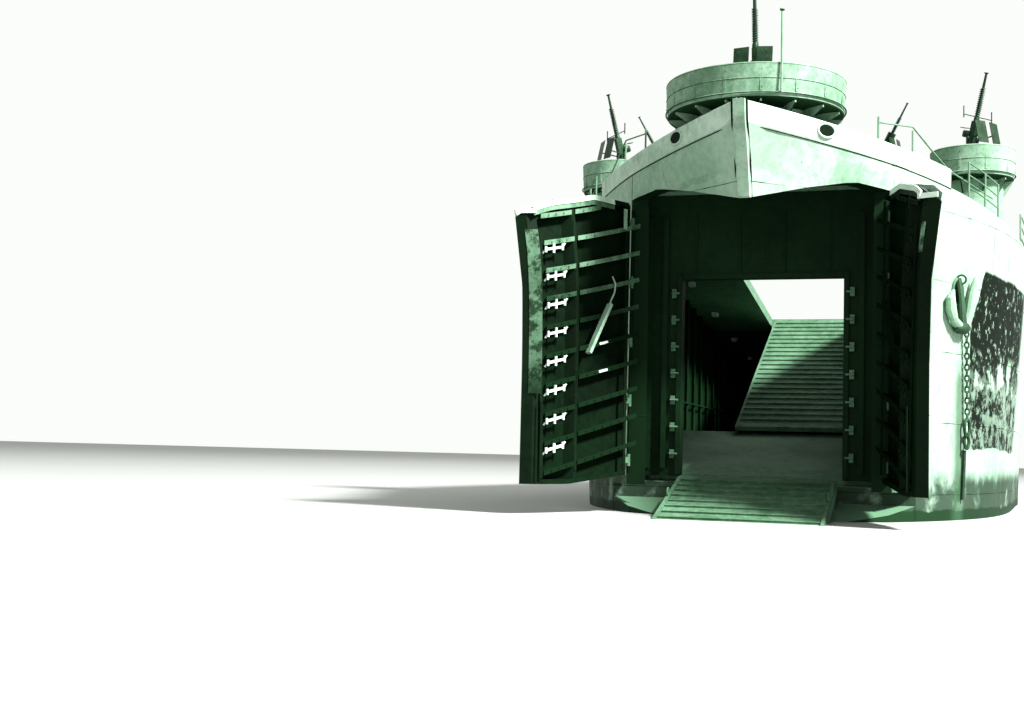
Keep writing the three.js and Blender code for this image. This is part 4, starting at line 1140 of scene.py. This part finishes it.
def rail(shape, line, posts, height=1.05, rows=3):
    """Stanchions at each of posts and rails along a line of deck points."""
    for level in range(1, rows + 1):
        shape.tube([point + height * level / rows * UP for point in line], 0.02, 6)
    for post in posts:
        shape.rod(post, post + (height + 0.02) * UP, 0.03, 6)


# Wire run aft from the bow as (aft, height above the deck)
HANDLINE = [(3.6, 1.05), (4.8, 1.3), (5.6, 0.9), (6.4, 0.6), (9.4, 0.65)]


def edge_point(aft, inset, up=0, side=1):
    """A place at a height above the deck, inside its edge."""
    return at(aft, side * (deck_half(aft) - inset), deck_height(aft) + up)


def make_rails():
    shape = Shape()
    for first, last, count in ((7.2, 9.4, 3), (12.6, 66.4, 29), (72.8, 97.6, 14)):
        line, posts = ([edge_point(aft, 0.1) for aft in spread(first, last, n)] for n in (count * 3, count))
        rail(shape, line, posts)
    rails = shape.both()
    for side in (-1, 1):
        rails.tube([edge_point(aft, 0.25, up, side) for aft, up in HANDLINE], 0.022, 6)
        for aft in (3.6, 4.8):
            rails.rod(edge_point(aft, 0.25, 0, side), edge_point(aft, 0.25, 1.2, side), 0.025, 6)
    taffrail = [at(97.9, port, DECK_HEIGHT) for port in spread(-3.6, 3.6, 5)]
    rail(rails, taffrail, taffrail)
    inset = 0.1
    roof = sides_of(HOUSE["fore"] + inset, HOUSE["aft"] - inset, HOUSE["half"] - inset)
    for (a0, y0), (a1, y1) in roof:
        steps = max(2, round(math.hypot(a1 - a0, y1 - y0) / 1.9))
        places = zip(spread(a0, a1, steps + 1), spread(y0, y1, steps + 1))
        line = [at(aft, port, HOUSE["top"]) for aft, port in places]
        rail(rails, line, line[:-1])
    make("rails", rails, "rail_paint")


# Superstructure

HOUSE = {"fore": 73, "aft": 90.5, "half": 4.9, "top": 10}
HOUSE_VENTS = [(74.6, 3.4), (74.6, -3.4), (84.2, 3.6), (84.2, -3.6), (88.4, 2.6), (88.4, -2.6), (86.6, 0.9)]
# Lockers on the house as fore, aft, right, left, height
LOCKERS = [
    (73.6, 74.3, -1.1, 1.1, 0.55), (86.9, 87.7, 3.2, 4.4, 0.6), (86.9, 87.7, -4.4, -3.2, 0.6),
    (89.2, 89.8, -1, 0.4, 0.5),
]
WHEELHOUSE = {"fore": 77, "aft": 82.6, "half": 2.5, "top": 12.3}
BRIDGE = {"aft": 79.6, "radius": 2.2, "floor": 12.33}
MAST = {"aft": 84.4, "top": 24, "yard": 20, "yard_half": 2.6, "platform": 16}
WALLS = ((1, TO_PORT), (-1, TO_STARBOARD))


def corners_of(fore, aft, half):
    return [(fore, -half), (fore, half), (aft, half), (aft, -half)]


def sides_of(fore, aft, half):
    corners = corners_of(fore, aft, half)
    return zip(corners, corners[1:] + corners[:1])


def gutter(shape, house, out, drop):
    """A tube around a roof's edge."""
    corners = corners_of(house["fore"], house["aft"], house["half"])
    line = [at(aft, port + math.copysign(out, port), house["top"] - drop) for aft, port in corners]
    shape.tube(line, out, closed=True)


def on_wall(place, outward):
    """A frame on a wall: X out of it, Y along it and Z up."""
    return Matrix.Translation(place) @ Matrix((outward, UP.cross(outward), UP)).transposed().to_4x4()


def porthole(rims, panes, place, outward):
    """A round light with a rim, a hinge and a rain guard over it."""
    rims.ring(place + outward * 0.02, outward, 0.19, 0.035)
    panes.disc(place + outward * 0.012, outward, 0.19)
    rims.blocks(on_wall(place, outward), (0.03, 0, 0.26, 0.08, 0.42, 0.02), (0.03, 0.22, 0, 0.05, 0.05, 0.1))


def square_window(rims, panes, place, outward, width=0.56, height=0.5):
    wall = on_wall(place, outward)
    panes.blocks(wall, (0.01, 0, 0, 0.02, width, height))
    for side in (-1, 1):
        rims.blocks(wall, (0.02, side * width / 2, 0, 0.05, 0.05, height + 0.05),
                    (0.02, 0, side * height / 2, 0.05, width, 0.05))
    rims.blocks(wall, (0.06, 0, height / 2 + 0.05, 0.14, width + 0.1, 0.02))


def steel_door(shape, rims, panes, foot, outward):
    """A weathertight door with a coaming, hinges, six clamps and a small light."""
    wall = on_wall(foot + 1.05 * UP, outward)
    shape.blocks(wall, (0.02, 0, 0, 0.05, 0.86, 1.86), (0.05, 0, 0, 0.04, 0.7, 1.7))
    for up in (-0.65, 0, 0.65):
        rims.blocks(wall, (0.08, -0.36, up, 0.05, 0.16, 0.04), (0.08, 0.36, up, 0.05, 0.16, 0.04),
                    (0.06, -0.46, up + 0.15, 0.07, 0.08, 0.16))
    light = foot + 1.5 * UP
    rims.ring(light + outward * 0.075, outward, 0.13, 0.025, 18)
    panes.disc(light + outward * 0.073, outward, 0.12)
    shape.blocks(wall, (0.08, 0, -0.98, 0.22, 0.9, 0.1))


def ladder(shape, foot, outward, height, width=0.42):
    """A ladder standing off a wall."""
    wall, out = on_wall(foot, outward), 0.16
    rods = []
    for port in (-width / 2, width / 2):
        rods.append(((out, port, 0), (out, port, height), 0.022))
        rods += [((0, port, up), (out, port, up), 0.018) for up in (0.2, height - 0.2)]
    levels = [0.2 + 0.3 * i for i in range(int(height / 0.3))]
    rods += [((out, -width / 2, up), (out, width / 2, up), 0.016) for up in levels]
    for start, end, radius in rods:
        shape.rod(wall @ Vector(start), wall @ Vector(end), radius, 6)


def mushroom_vent(shape, place, height=0.75, radius=0.26):
    """A ventilator with a domed cap and a closing wheel."""
    neck = radius * 0.6
    shape.turned(Matrix.Translation(place), [
        (neck + 0.05, 0), (neck + 0.05, 0.06), (neck, 0.08), (neck, height - 0.16), (radius, height - 0.2),
        (radius + 0.02, height - 0.14), (radius * 0.9, height - 0.04), (radius * 0.5, height),
        (0.001, height + 0.01),
    ], 20)
    shape.ring(place + (height + 0.07) * UP, UP, 0.1, 0.015, 14)


def locker(shape, rims, fore, aft, right, left, high):
    """A steel box on the house top with a lid, hinges and a hasp."""
    shape.box(fore, aft, right, left, HOUSE["top"], high - 0.05)
    shape.box(fore - 0.03, aft + 0.03, right - 0.03, left + 0.03, high - 0.05, high)
    for port in (right + 0.15, left - 0.15):
        rims.box(fore - 0.06, fore - 0.02, port - 0.05, port + 0.05, high - 0.14, high + 0.01)
    middle = (right + left) / 2
    rims.box(aft, aft + 0.04, middle - 0.04, middle + 0.04, high - 0.2, high)


def make_house_fittings():
    """Lights, doors, ladders, gutters, vents and lockers on the deckhouse."""
    shape, rims, panes = Shape(), Shape(), Shape()
    fore, aft, half, top = HOUSE.values()
    doors, sill, lights = (77.2, 86.4), DECK_HEIGHT + 0.06, 9.05
    for side, outward in WALLS:
        for place in doors:
            steel_door(shape, rims, panes, at(place, side * half, sill), outward)
        for place in spread(74.4, 89.4, 11):
            if min(abs(place - door) for door in doors) > 0.75:
                porthole(rims, panes, at(place, side * half, lights), outward)
        for place in spread(fore + 0.1, aft - 0.1, 8):
            low, high = (at(place, side * (half + 0.04), up) for up in (DECK_HEIGHT + 0.1, top - 0.1))
            shape.rod(low, high, 0.03, 6)
        ladder(rims, at(88.2, side * half, DECK_HEIGHT + 0.05), outward, 2.3)
        for place in (79.5, 84):
            shape.ring(at(place, side * (half + 0.08), 8.6), outward, 0.26, 0.06)
    for port in (-3.4, -1.7, 1.7, 3.4):
        porthole(rims, panes, at(fore, port, lights), AHEAD)
    steel_door(shape, rims, panes, at(fore, 0, sill), AHEAD)
    for port in (-3.6, 0.6, 3.6):
        steel_door(shape, rims, panes, at(aft, port, sill), ASTERN)
    for port in (-2.3, -1, 2.2):
        porthole(rims, panes, at(aft, port, lights), ASTERN)
    gutter(shape, HOUSE, 0.05, 0.04)
    for place, port in HOUSE_VENTS:
        mushroom_vent(shape, at(place, port, top))
    for *place, height in LOCKERS:
        locker(shape, rims, *place, top + height)
    make("deckhouse_plating", shape, "house_paint")
    make("deckhouse_fittings", rims, "machinery")
    make("deckhouse_lights", panes, "glass")


def bridge_gear(rims):
    """Compass stand, two signal lamps and two voice pipes in the open bridge."""
    floor = BRIDGE["floor"]
    rims.turned(stand(78.5, 0, floor), [
        (0.01, 0), (0.22, 0), (0.2, 0.08), (0.14, 0.12), (0.14, 0.85), (0.21, 0.9), (0.2, 1.05), (0.1, 1.16),
        (0.01, 1.18),
    ], 24)
    for port in (-1.35, 1.35):
        rims.rod(at(79.2, port, floor), at(79.2, port, 13.5), 0.06)
        lens = [(0.01, -0.16), (0.14, -0.15), (0.2, 0.08), (0.22, 0.16), (0.18, 0.16), (0.01, 0.12)]
        rims.turned(stand(79.2, port, 13.72) @ spin(math.pi / 2, "Y"), lens, 24)
    for port in (-0.6, 0.6):
        pipe = [at(78.2, port, floor), at(78.2, port, 13.2), at(78.35, port, 13.35)]
        rims.tube(pipe, [0.04, 0.04, 0.08], 10)


def make_wheelhouse_fittings():
    """Windows, doors, ladders and lamps on the wheelhouse, and gear in the open bridge above it."""
    shape, rims, panes = Shape(), Shape(), Shape()
    fore, aft, half, top = WHEELHOUSE.values()
    sill, windows = HOUSE["top"] + 0.03, 11.45
    for port in spread(-1.92, 1.92, 5):
        square_window(rims, panes, at(fore, port, windows), AHEAD)
    for side, outward in WALLS:
        for place in (77.7, 78.7, 79.7):
            square_window(rims, panes, at(place, side * half, windows), outward)
        steel_door(shape, rims, panes, at(81.2, side * half, sill), outward)
        lamp = [(0.01, 0), (0.12, 0.02), (0.12, 0.26), (0.07, 0.34), (0.01, 0.36)]
        rims.turned(stand(77.5, side * (half + 0.12), 12), lamp, 16)
    ladder(rims, at(aft, 1.4, sill), ASTERN, 2.6)
    for port in (-1.2, 0):
        porthole(rims, panes, at(aft, port, 11.4), ASTERN)
    gutter(shape, WHEELHOUSE, 0.04, 0.03)
    line = [at(aft - 0.1, side * half * 0.97, top) for side in (1, -1)]
    rail(rims, line, line)
    middle = stand(BRIDGE["aft"], 0)
    for up, thickness in ((13.58, 0.045), (12.4, 0.03)):
        shape.turned(middle, ring_profile(BRIDGE["radius"], up, thickness), 64)
    for turn in around(middle, 20, "Z", 0.5):
        shape.blocks(turn, (BRIDGE["radius"] + 0.02, 0, 12.98, 0.05, 0.04, 1.1))
    bridge_gear(rims)
    make("wheelhouse_plating", shape, "house_paint")
    make("wheelhouse_fittings", rims, "machinery")
    make("wheelhouse_lights", panes, "glass")


def make_mast_fittings():
    """Rungs, platform rails, lamps, stays and signal lines of the mast."""
    shape, wires = Shape(), Shape()
    aft, top, yard, half, platform = MAST.values()
    for i in range(42):
        up = 10.4 + 0.3 * i
        rung = ((aft, -0.16), (aft + 0.34, -0.16), (aft + 0.34, 0.16), (aft, 0.16))
        shape.tube([at(*place, up) for place in rung], 0.016, 6)
    for port in spread(-half + 0.3, half - 0.3, 6):
        shape.rod(at(aft, port, yard - 0.24), at(aft, port, yard), 0.02, 6)
        shape.ring(at(aft, port, yard - 0.3), TO_PORT, 0.06, 0.02, 12)
    for up in (17.2, 21.4, 22.6):
        lamp = [(0.01, 0), (0.1, 0.02), (0.1, 0.22), (0.06, 0.28), (0.01, 0.3)]
        shape.turned(stand(aft - 0.34, 0, up), lamp, 14)
        shape.rod(at(aft, 0, up), at(aft - 0.34, 0, up), 0.03, 6)
    edge = [at(a, y, platform + 0.05) for a, y in corners_of(aft - 0.46, aft + 0.46, 0.46)]
    rail(shape, edge + edge[:1], edge, 0.9, 2)
    for side in (-1, 1):
        for reach in (-1.4, 1.6):
            wires.rod(at(aft, side * 0.1, yard - 0.4), at(aft + reach, side * 4.6, 10.03), 0.02, 6)
        for port in (side * 1.2, side * 1.7, side * 2.2):
            wires.rod(at(aft, port, yard - 0.36), at(82.3, port * 0.95, BRIDGE["floor"]), 0.01, 4)
        wires.rod(at(aft, side * half, yard), at(aft, 0, 21.8), 0.014, 4)
    wires.rod(at(aft, 0, top - 0.6), at(90.2, 0, 10.03), 0.02, 6)
    make("mast_fittings", shape, "rail_paint")
    make("mast_wires", wires, "anchor_black")


# Weather deck

CARGO_COVER = {"fore": 47.8, "aft": 54.7, "half": 2.3, "top": 8.42}
VENTS = {"first": 37.5, "last": 65.5, "port": 5.75, "top": 9.08}


def bollard(shape, aft, port):
    """A pair of posts on a plate."""
    up = deck_height(aft)
    shape.post(aft, port, up, up + 0.05, 1.1, 0.4)
    for shift in (-0.32, 0.32):
        shape.turned(stand(aft + shift, port, up), [
            (0.17, 0.05), (0.14, 0.09), (0.13, 0.5), (0.17, 0.52), (0.17, 0.58), (0.12, 0.61), (0.001, 0.61),
        ], 18)


def fairlead(shape, aft, side):
    """A closed chock at the deck's edge."""
    place = edge_point(aft, 0.16, 0.2, side)
    shape.ring(place, TO_PORT, 0.2, 0.07, 20, (1.5, 0.85))
    shape.block(Matrix.Translation(place - 0.18 * UP), 0.8, 0.16, 0.06)


def hose_reel(shape, aft, port):
    up = deck_height(aft)
    shape.turned(stand(aft, port, up + 0.5) @ spin(math.pi / 2, "X"), [
        (0.01, -0.3), (0.4, -0.3), (0.4, -0.27), (0.15, -0.25), (0.15, 0.25), (0.4, 0.27), (0.4, 0.3),
        (0.01, 0.3),
    ], 28)
    for end in (-0.36, 0.36):
        shape.post(aft, port + end, up, up + 0.56, 0.6, 0.04)


def hatch_clamps(shape, small):
    fore, aft, half, top = CARGO_COVER.values()
    for place in spread(fore + 0.4, aft - 0.4, 7):
        for side in (-1, 1):
            small.post(place, side * half, top - 0.35, top - 0.02, 0.1, 0.12)
        shape.post(place, 0, top - 0.01, top + 0.05, 0.1, 2 * half - 0.2)
    for port in spread(0.4 - half, half - 0.4, 4):
        for place in (fore - 0.01, aft + 0.01):
            small.post(place, port, top - 0.35, top - 0.02, 0.1, 0.1)


def make_deck_fittings():
    """Bollards, chocks, lashing points, hatch clamps, vent caps and hose reels."""
    shape, small = Shape(), Shape()
    for side in (-1, 1):
        for aft in (14.5, 27, 43, 58.5, 73.8, 84, 92.6):
            bollard(shape, aft, side * (deck_half(aft) - 0.75))
            fairlead(shape, aft + 1.3, side)
        for aft in spread(VENTS["first"], VENTS["last"], 8):
            cap = [(0.3, 0), (0.34, 0.05), (0.3, 0.12), (0.14, 0.2), (0.001, 0.2)]
            shape.turned(stand(aft, side * VENTS["port"], VENTS["top"] - 0.16), cap, 24)
            small.ring(at(aft, side * VENTS["port"], VENTS["top"] + 0.1), UP, 0.12, 0.018, 14)
        for aft in (31, 62):
            hose_reel(shape, aft, side * 6.3)
    for aft in spread(25, 65.8, 18):
        for port in spread(-4.8, 4.8, 7):
            if CARGO_COVER["fore"] - 0.4 < aft < CARGO_COVER["aft"] + 0.4 and abs(port) < 2.8:
                continue
            up = deck_height(aft)
            small.ring(at(aft, port, up + 0.03), UP, 0.11, 0.028, 12)
            small.post(aft, port, up, up + 0.03, 0.06, 0.3)
    hatch_clamps(shape, small)
    make("deck_fittings", shape, "machinery")
    make("deck_small_fittings", small, "anchor_black")


def laid_chain(shape, points):
    """Chain lying along some points, with every other link on its edge."""
    for start, end in zip(points, points[1:]):
        count = max(2, round((end - start).length / 0.16))
        for i in range(count):
            flat = (end - start).normalized().cross(UP) if i % 2 else UP
            shape.ring(start + (end - start) * i / count, flat, 0.085, 0.024, 10, (1.1, 0.7))


def make_windlass_fittings():
    """Teeth, brake wheels and chain of the windlass, and wire on the stern winch."""
    shape, chain = Shape(), Shape()
    for side in (-1, 1):
        for turn in around(stand(8, side * 1.2, 10.45), 10, "Y"):
            shape.blocks(turn, (0.4, 0, 0, 0.1, 0.12, 0.1))
        shape.ring(at(7.15, side * 0.6, 10.3), AHEAD, 0.2, 0.025, 20)
        shape.rod(at(7.15, side * 0.6, 10.3), at(7.6, side * 0.6, 10.3), 0.03)
        path = ((7.7, 1.2, 10.72), (7.2, 1.5, 10.4), (6.9, 2.2, 10.2), (6.7, 3.9, 10.18))
        laid_chain(chain, [at(aft, side * port, up) for aft, port, up in path])
    for i in range(13):
        shape.ring(at(97.7, -0.85 + 0.14 * i, 8.52), TO_PORT, 0.46, 0.03, 28)
    chain.tube([at(97.9, 0, 8.1), at(98.9, 0, 7.9), at(99.45, 0, 7.75)], 0.03)
    make("winch_fittings", shape, "machinery")
    make("windlass_chain", chain, "anchor_black")


def make_side_fittings():
    """A rubbing strake at the deck's edge, and overboard pipes."""
    pipes = Shape()
    line = [hull_point(aft, deck_height(aft) - 0.12, 1, 0.05) for aft in spread(13, 97.5, 90)]
    for aft in (33, 41.5, 55, 63, 70, 77.5, 79, 86):
        place = hull_point(aft, 5.4 if aft < 70 else 4.2, 1, 0.02)
        pipes.ring(place, TO_PORT, 0.13, 0.035, 18)
        pipes.disc(place + 0.012 * TO_PORT, TO_PORT, 0.12)
        pipes.blocks(Matrix.Translation(place), (0, 0.02, 0.2, 0.36, 0.06, 0.02))
    make("rubbing_strake", Shape().tube(line, 0.07).both(), "hull_paint")
    make("overboard_pipes", pipes.both(), "machinery")


def make_davit_fittings():
    """Blocks, falls, hooks and cleats on the boat davits."""
    sheave = [(0.01, -0.07), (0.14, -0.06), (0.16, 0), (0.14, 0.06), (0.01, 0.07)]
    for side, name in ((1, "port"), (-1, "starboard")):
        shape = Shape()
        for aft in (67.5, 71.5):
            head, block = at(aft, side * 4.75, 12.36), at(aft, side * 4.75, 11.16)
            for shift in (-0.06, 0.06):
                shape.rod(head + shift * AHEAD, block + Vector((shift, 0, 0.1)), 0.014, 6)
            for place in (head - 0.12 * UP, block):
                shape.turned(Matrix.Translation(place) @ spin(math.pi / 2, "X"), sheave, 18)
            hook = [(0, 0, 0.16), (0, 0, 0.3), (0.08, 0, 0.36), (0.14, 0, 0.28)]
            shape.tube([block - Vector(place) for place in hook], 0.03)
            shape.post(aft - 0.13, side * 6.86, 9.1, 9.5, 0.06, 0.1)
        make("davit_fittings_" + name, shape, "machinery", "davits_" + name)


# Camera, floor and light

def place_camera():
    data = bpy.data.cameras.new("camera")
    data.sensor_width = 36
    data.lens = FOCAL_PIXELS / FRAME_WIDTH * data.sensor_width
    data.clip_end = 200
    camera = bpy.data.objects.new("camera", data)
    bpy.context.scene.collection.objects.link(camera)
    yaw, pitch, roll = CAMERA["yaw"], CAMERA["pitch"], CAMERA["roll"]
    level = Vector((-math.cos(yaw), math.sin(yaw), 0))
    right_level = level.cross(UP)
    forward = math.cos(pitch) * level + math.sin(pitch) * UP
    up_level = right_level.cross(forward)
    right = math.cos(roll) * right_level + math.sin(roll) * up_level
    up = -math.sin(roll) * right_level + math.cos(roll) * up_level
    turn = Matrix((right, up, -forward)).transposed()
    camera.matrix_world = move(CAMERA["x"], CAMERA["y"], CAMERA["z"]) @ turn.to_4x4()
    bpy.context.scene.camera = camera


FLOOR_REACH, FLOOR_TONES = 60, ((0.26, 0.27, 0.256), (0.24, 0.25, 0.236))
SKY = (0.965, 0.985, 0.955, 1)


def lay_floor():
    """The floor stands at the waterline, where the water or the beach would be."""
    reach, up = FLOOR_REACH, WATERLINE * M
    mesh = bpy.data.meshes.new("floor")
    corners = [(-reach, -reach, up), (reach, -reach, up), (reach, reach, up), (-reach, reach, up)]
    mesh.from_pydata(corners, [], [(0, 1, 2, 3)])
    floor = bpy.data.objects.new("floor", mesh)
    bpy.context.scene.collection.objects.link(floor)
    n = Nodes("floor")
    colour = n.mix(n.noise(0.8, 3), *FLOOR_TONES)
    mesh.materials.append(n.finished(colour, 0.75, 0.5))


def area_light(name, place, target, size, power):
    data = bpy.data.lights.new(name, "AREA")
    data.shape = "DISK"
    data.size = size
    data.energy = power
    light = bpy.data.objects.new(name, data)
    light.location = place
    light.rotation_mode = "QUATERNION"
    light.rotation_quaternion = (Vector(target) - Vector(place)).to_track_quat("-Z", "Y")
    bpy.context.scene.collection.objects.link(light)


def light_scene():
    area_light("key", (8, 8, 9.5), (3.5, 0, 0.8), 2, 9500)
    area_light("back", (-9, 3, 10), (-1, 0, 0.8), 8, 900)
    world = bpy.data.worlds.new("studio")
    world.use_nodes = True
    sky = world.node_tree.nodes["Background"].inputs
    sky["Color"].default_value = SKY
    sky["Strength"].default_value = 1
    bpy.context.scene.world = world
    bpy.context.scene.view_settings.view_transform = "Standard"


place_camera()
lay_floor()
light_scene()
dress_solids()
make_bow_plating()
make_side_plating("fore_plating", spread(BULKHEAD_STATION + 0.01, 21.5, 46))
make_side_plating("aft_plating", spread(84, 99, 50))
make_bulwark()
make_stem_bar()
make_tubs()
make_guns()
make_doors()
make_bow_opening()
make_tank_deck_fittings()
make_ramp_fittings()
make_anchor_gear()
make_rails()
make_house_fittings()
make_wheelhouse_fittings()
make_mast_fittings()
make_deck_fittings()
make_windlass_fittings()
make_side_fittings()
make_davit_fittings()
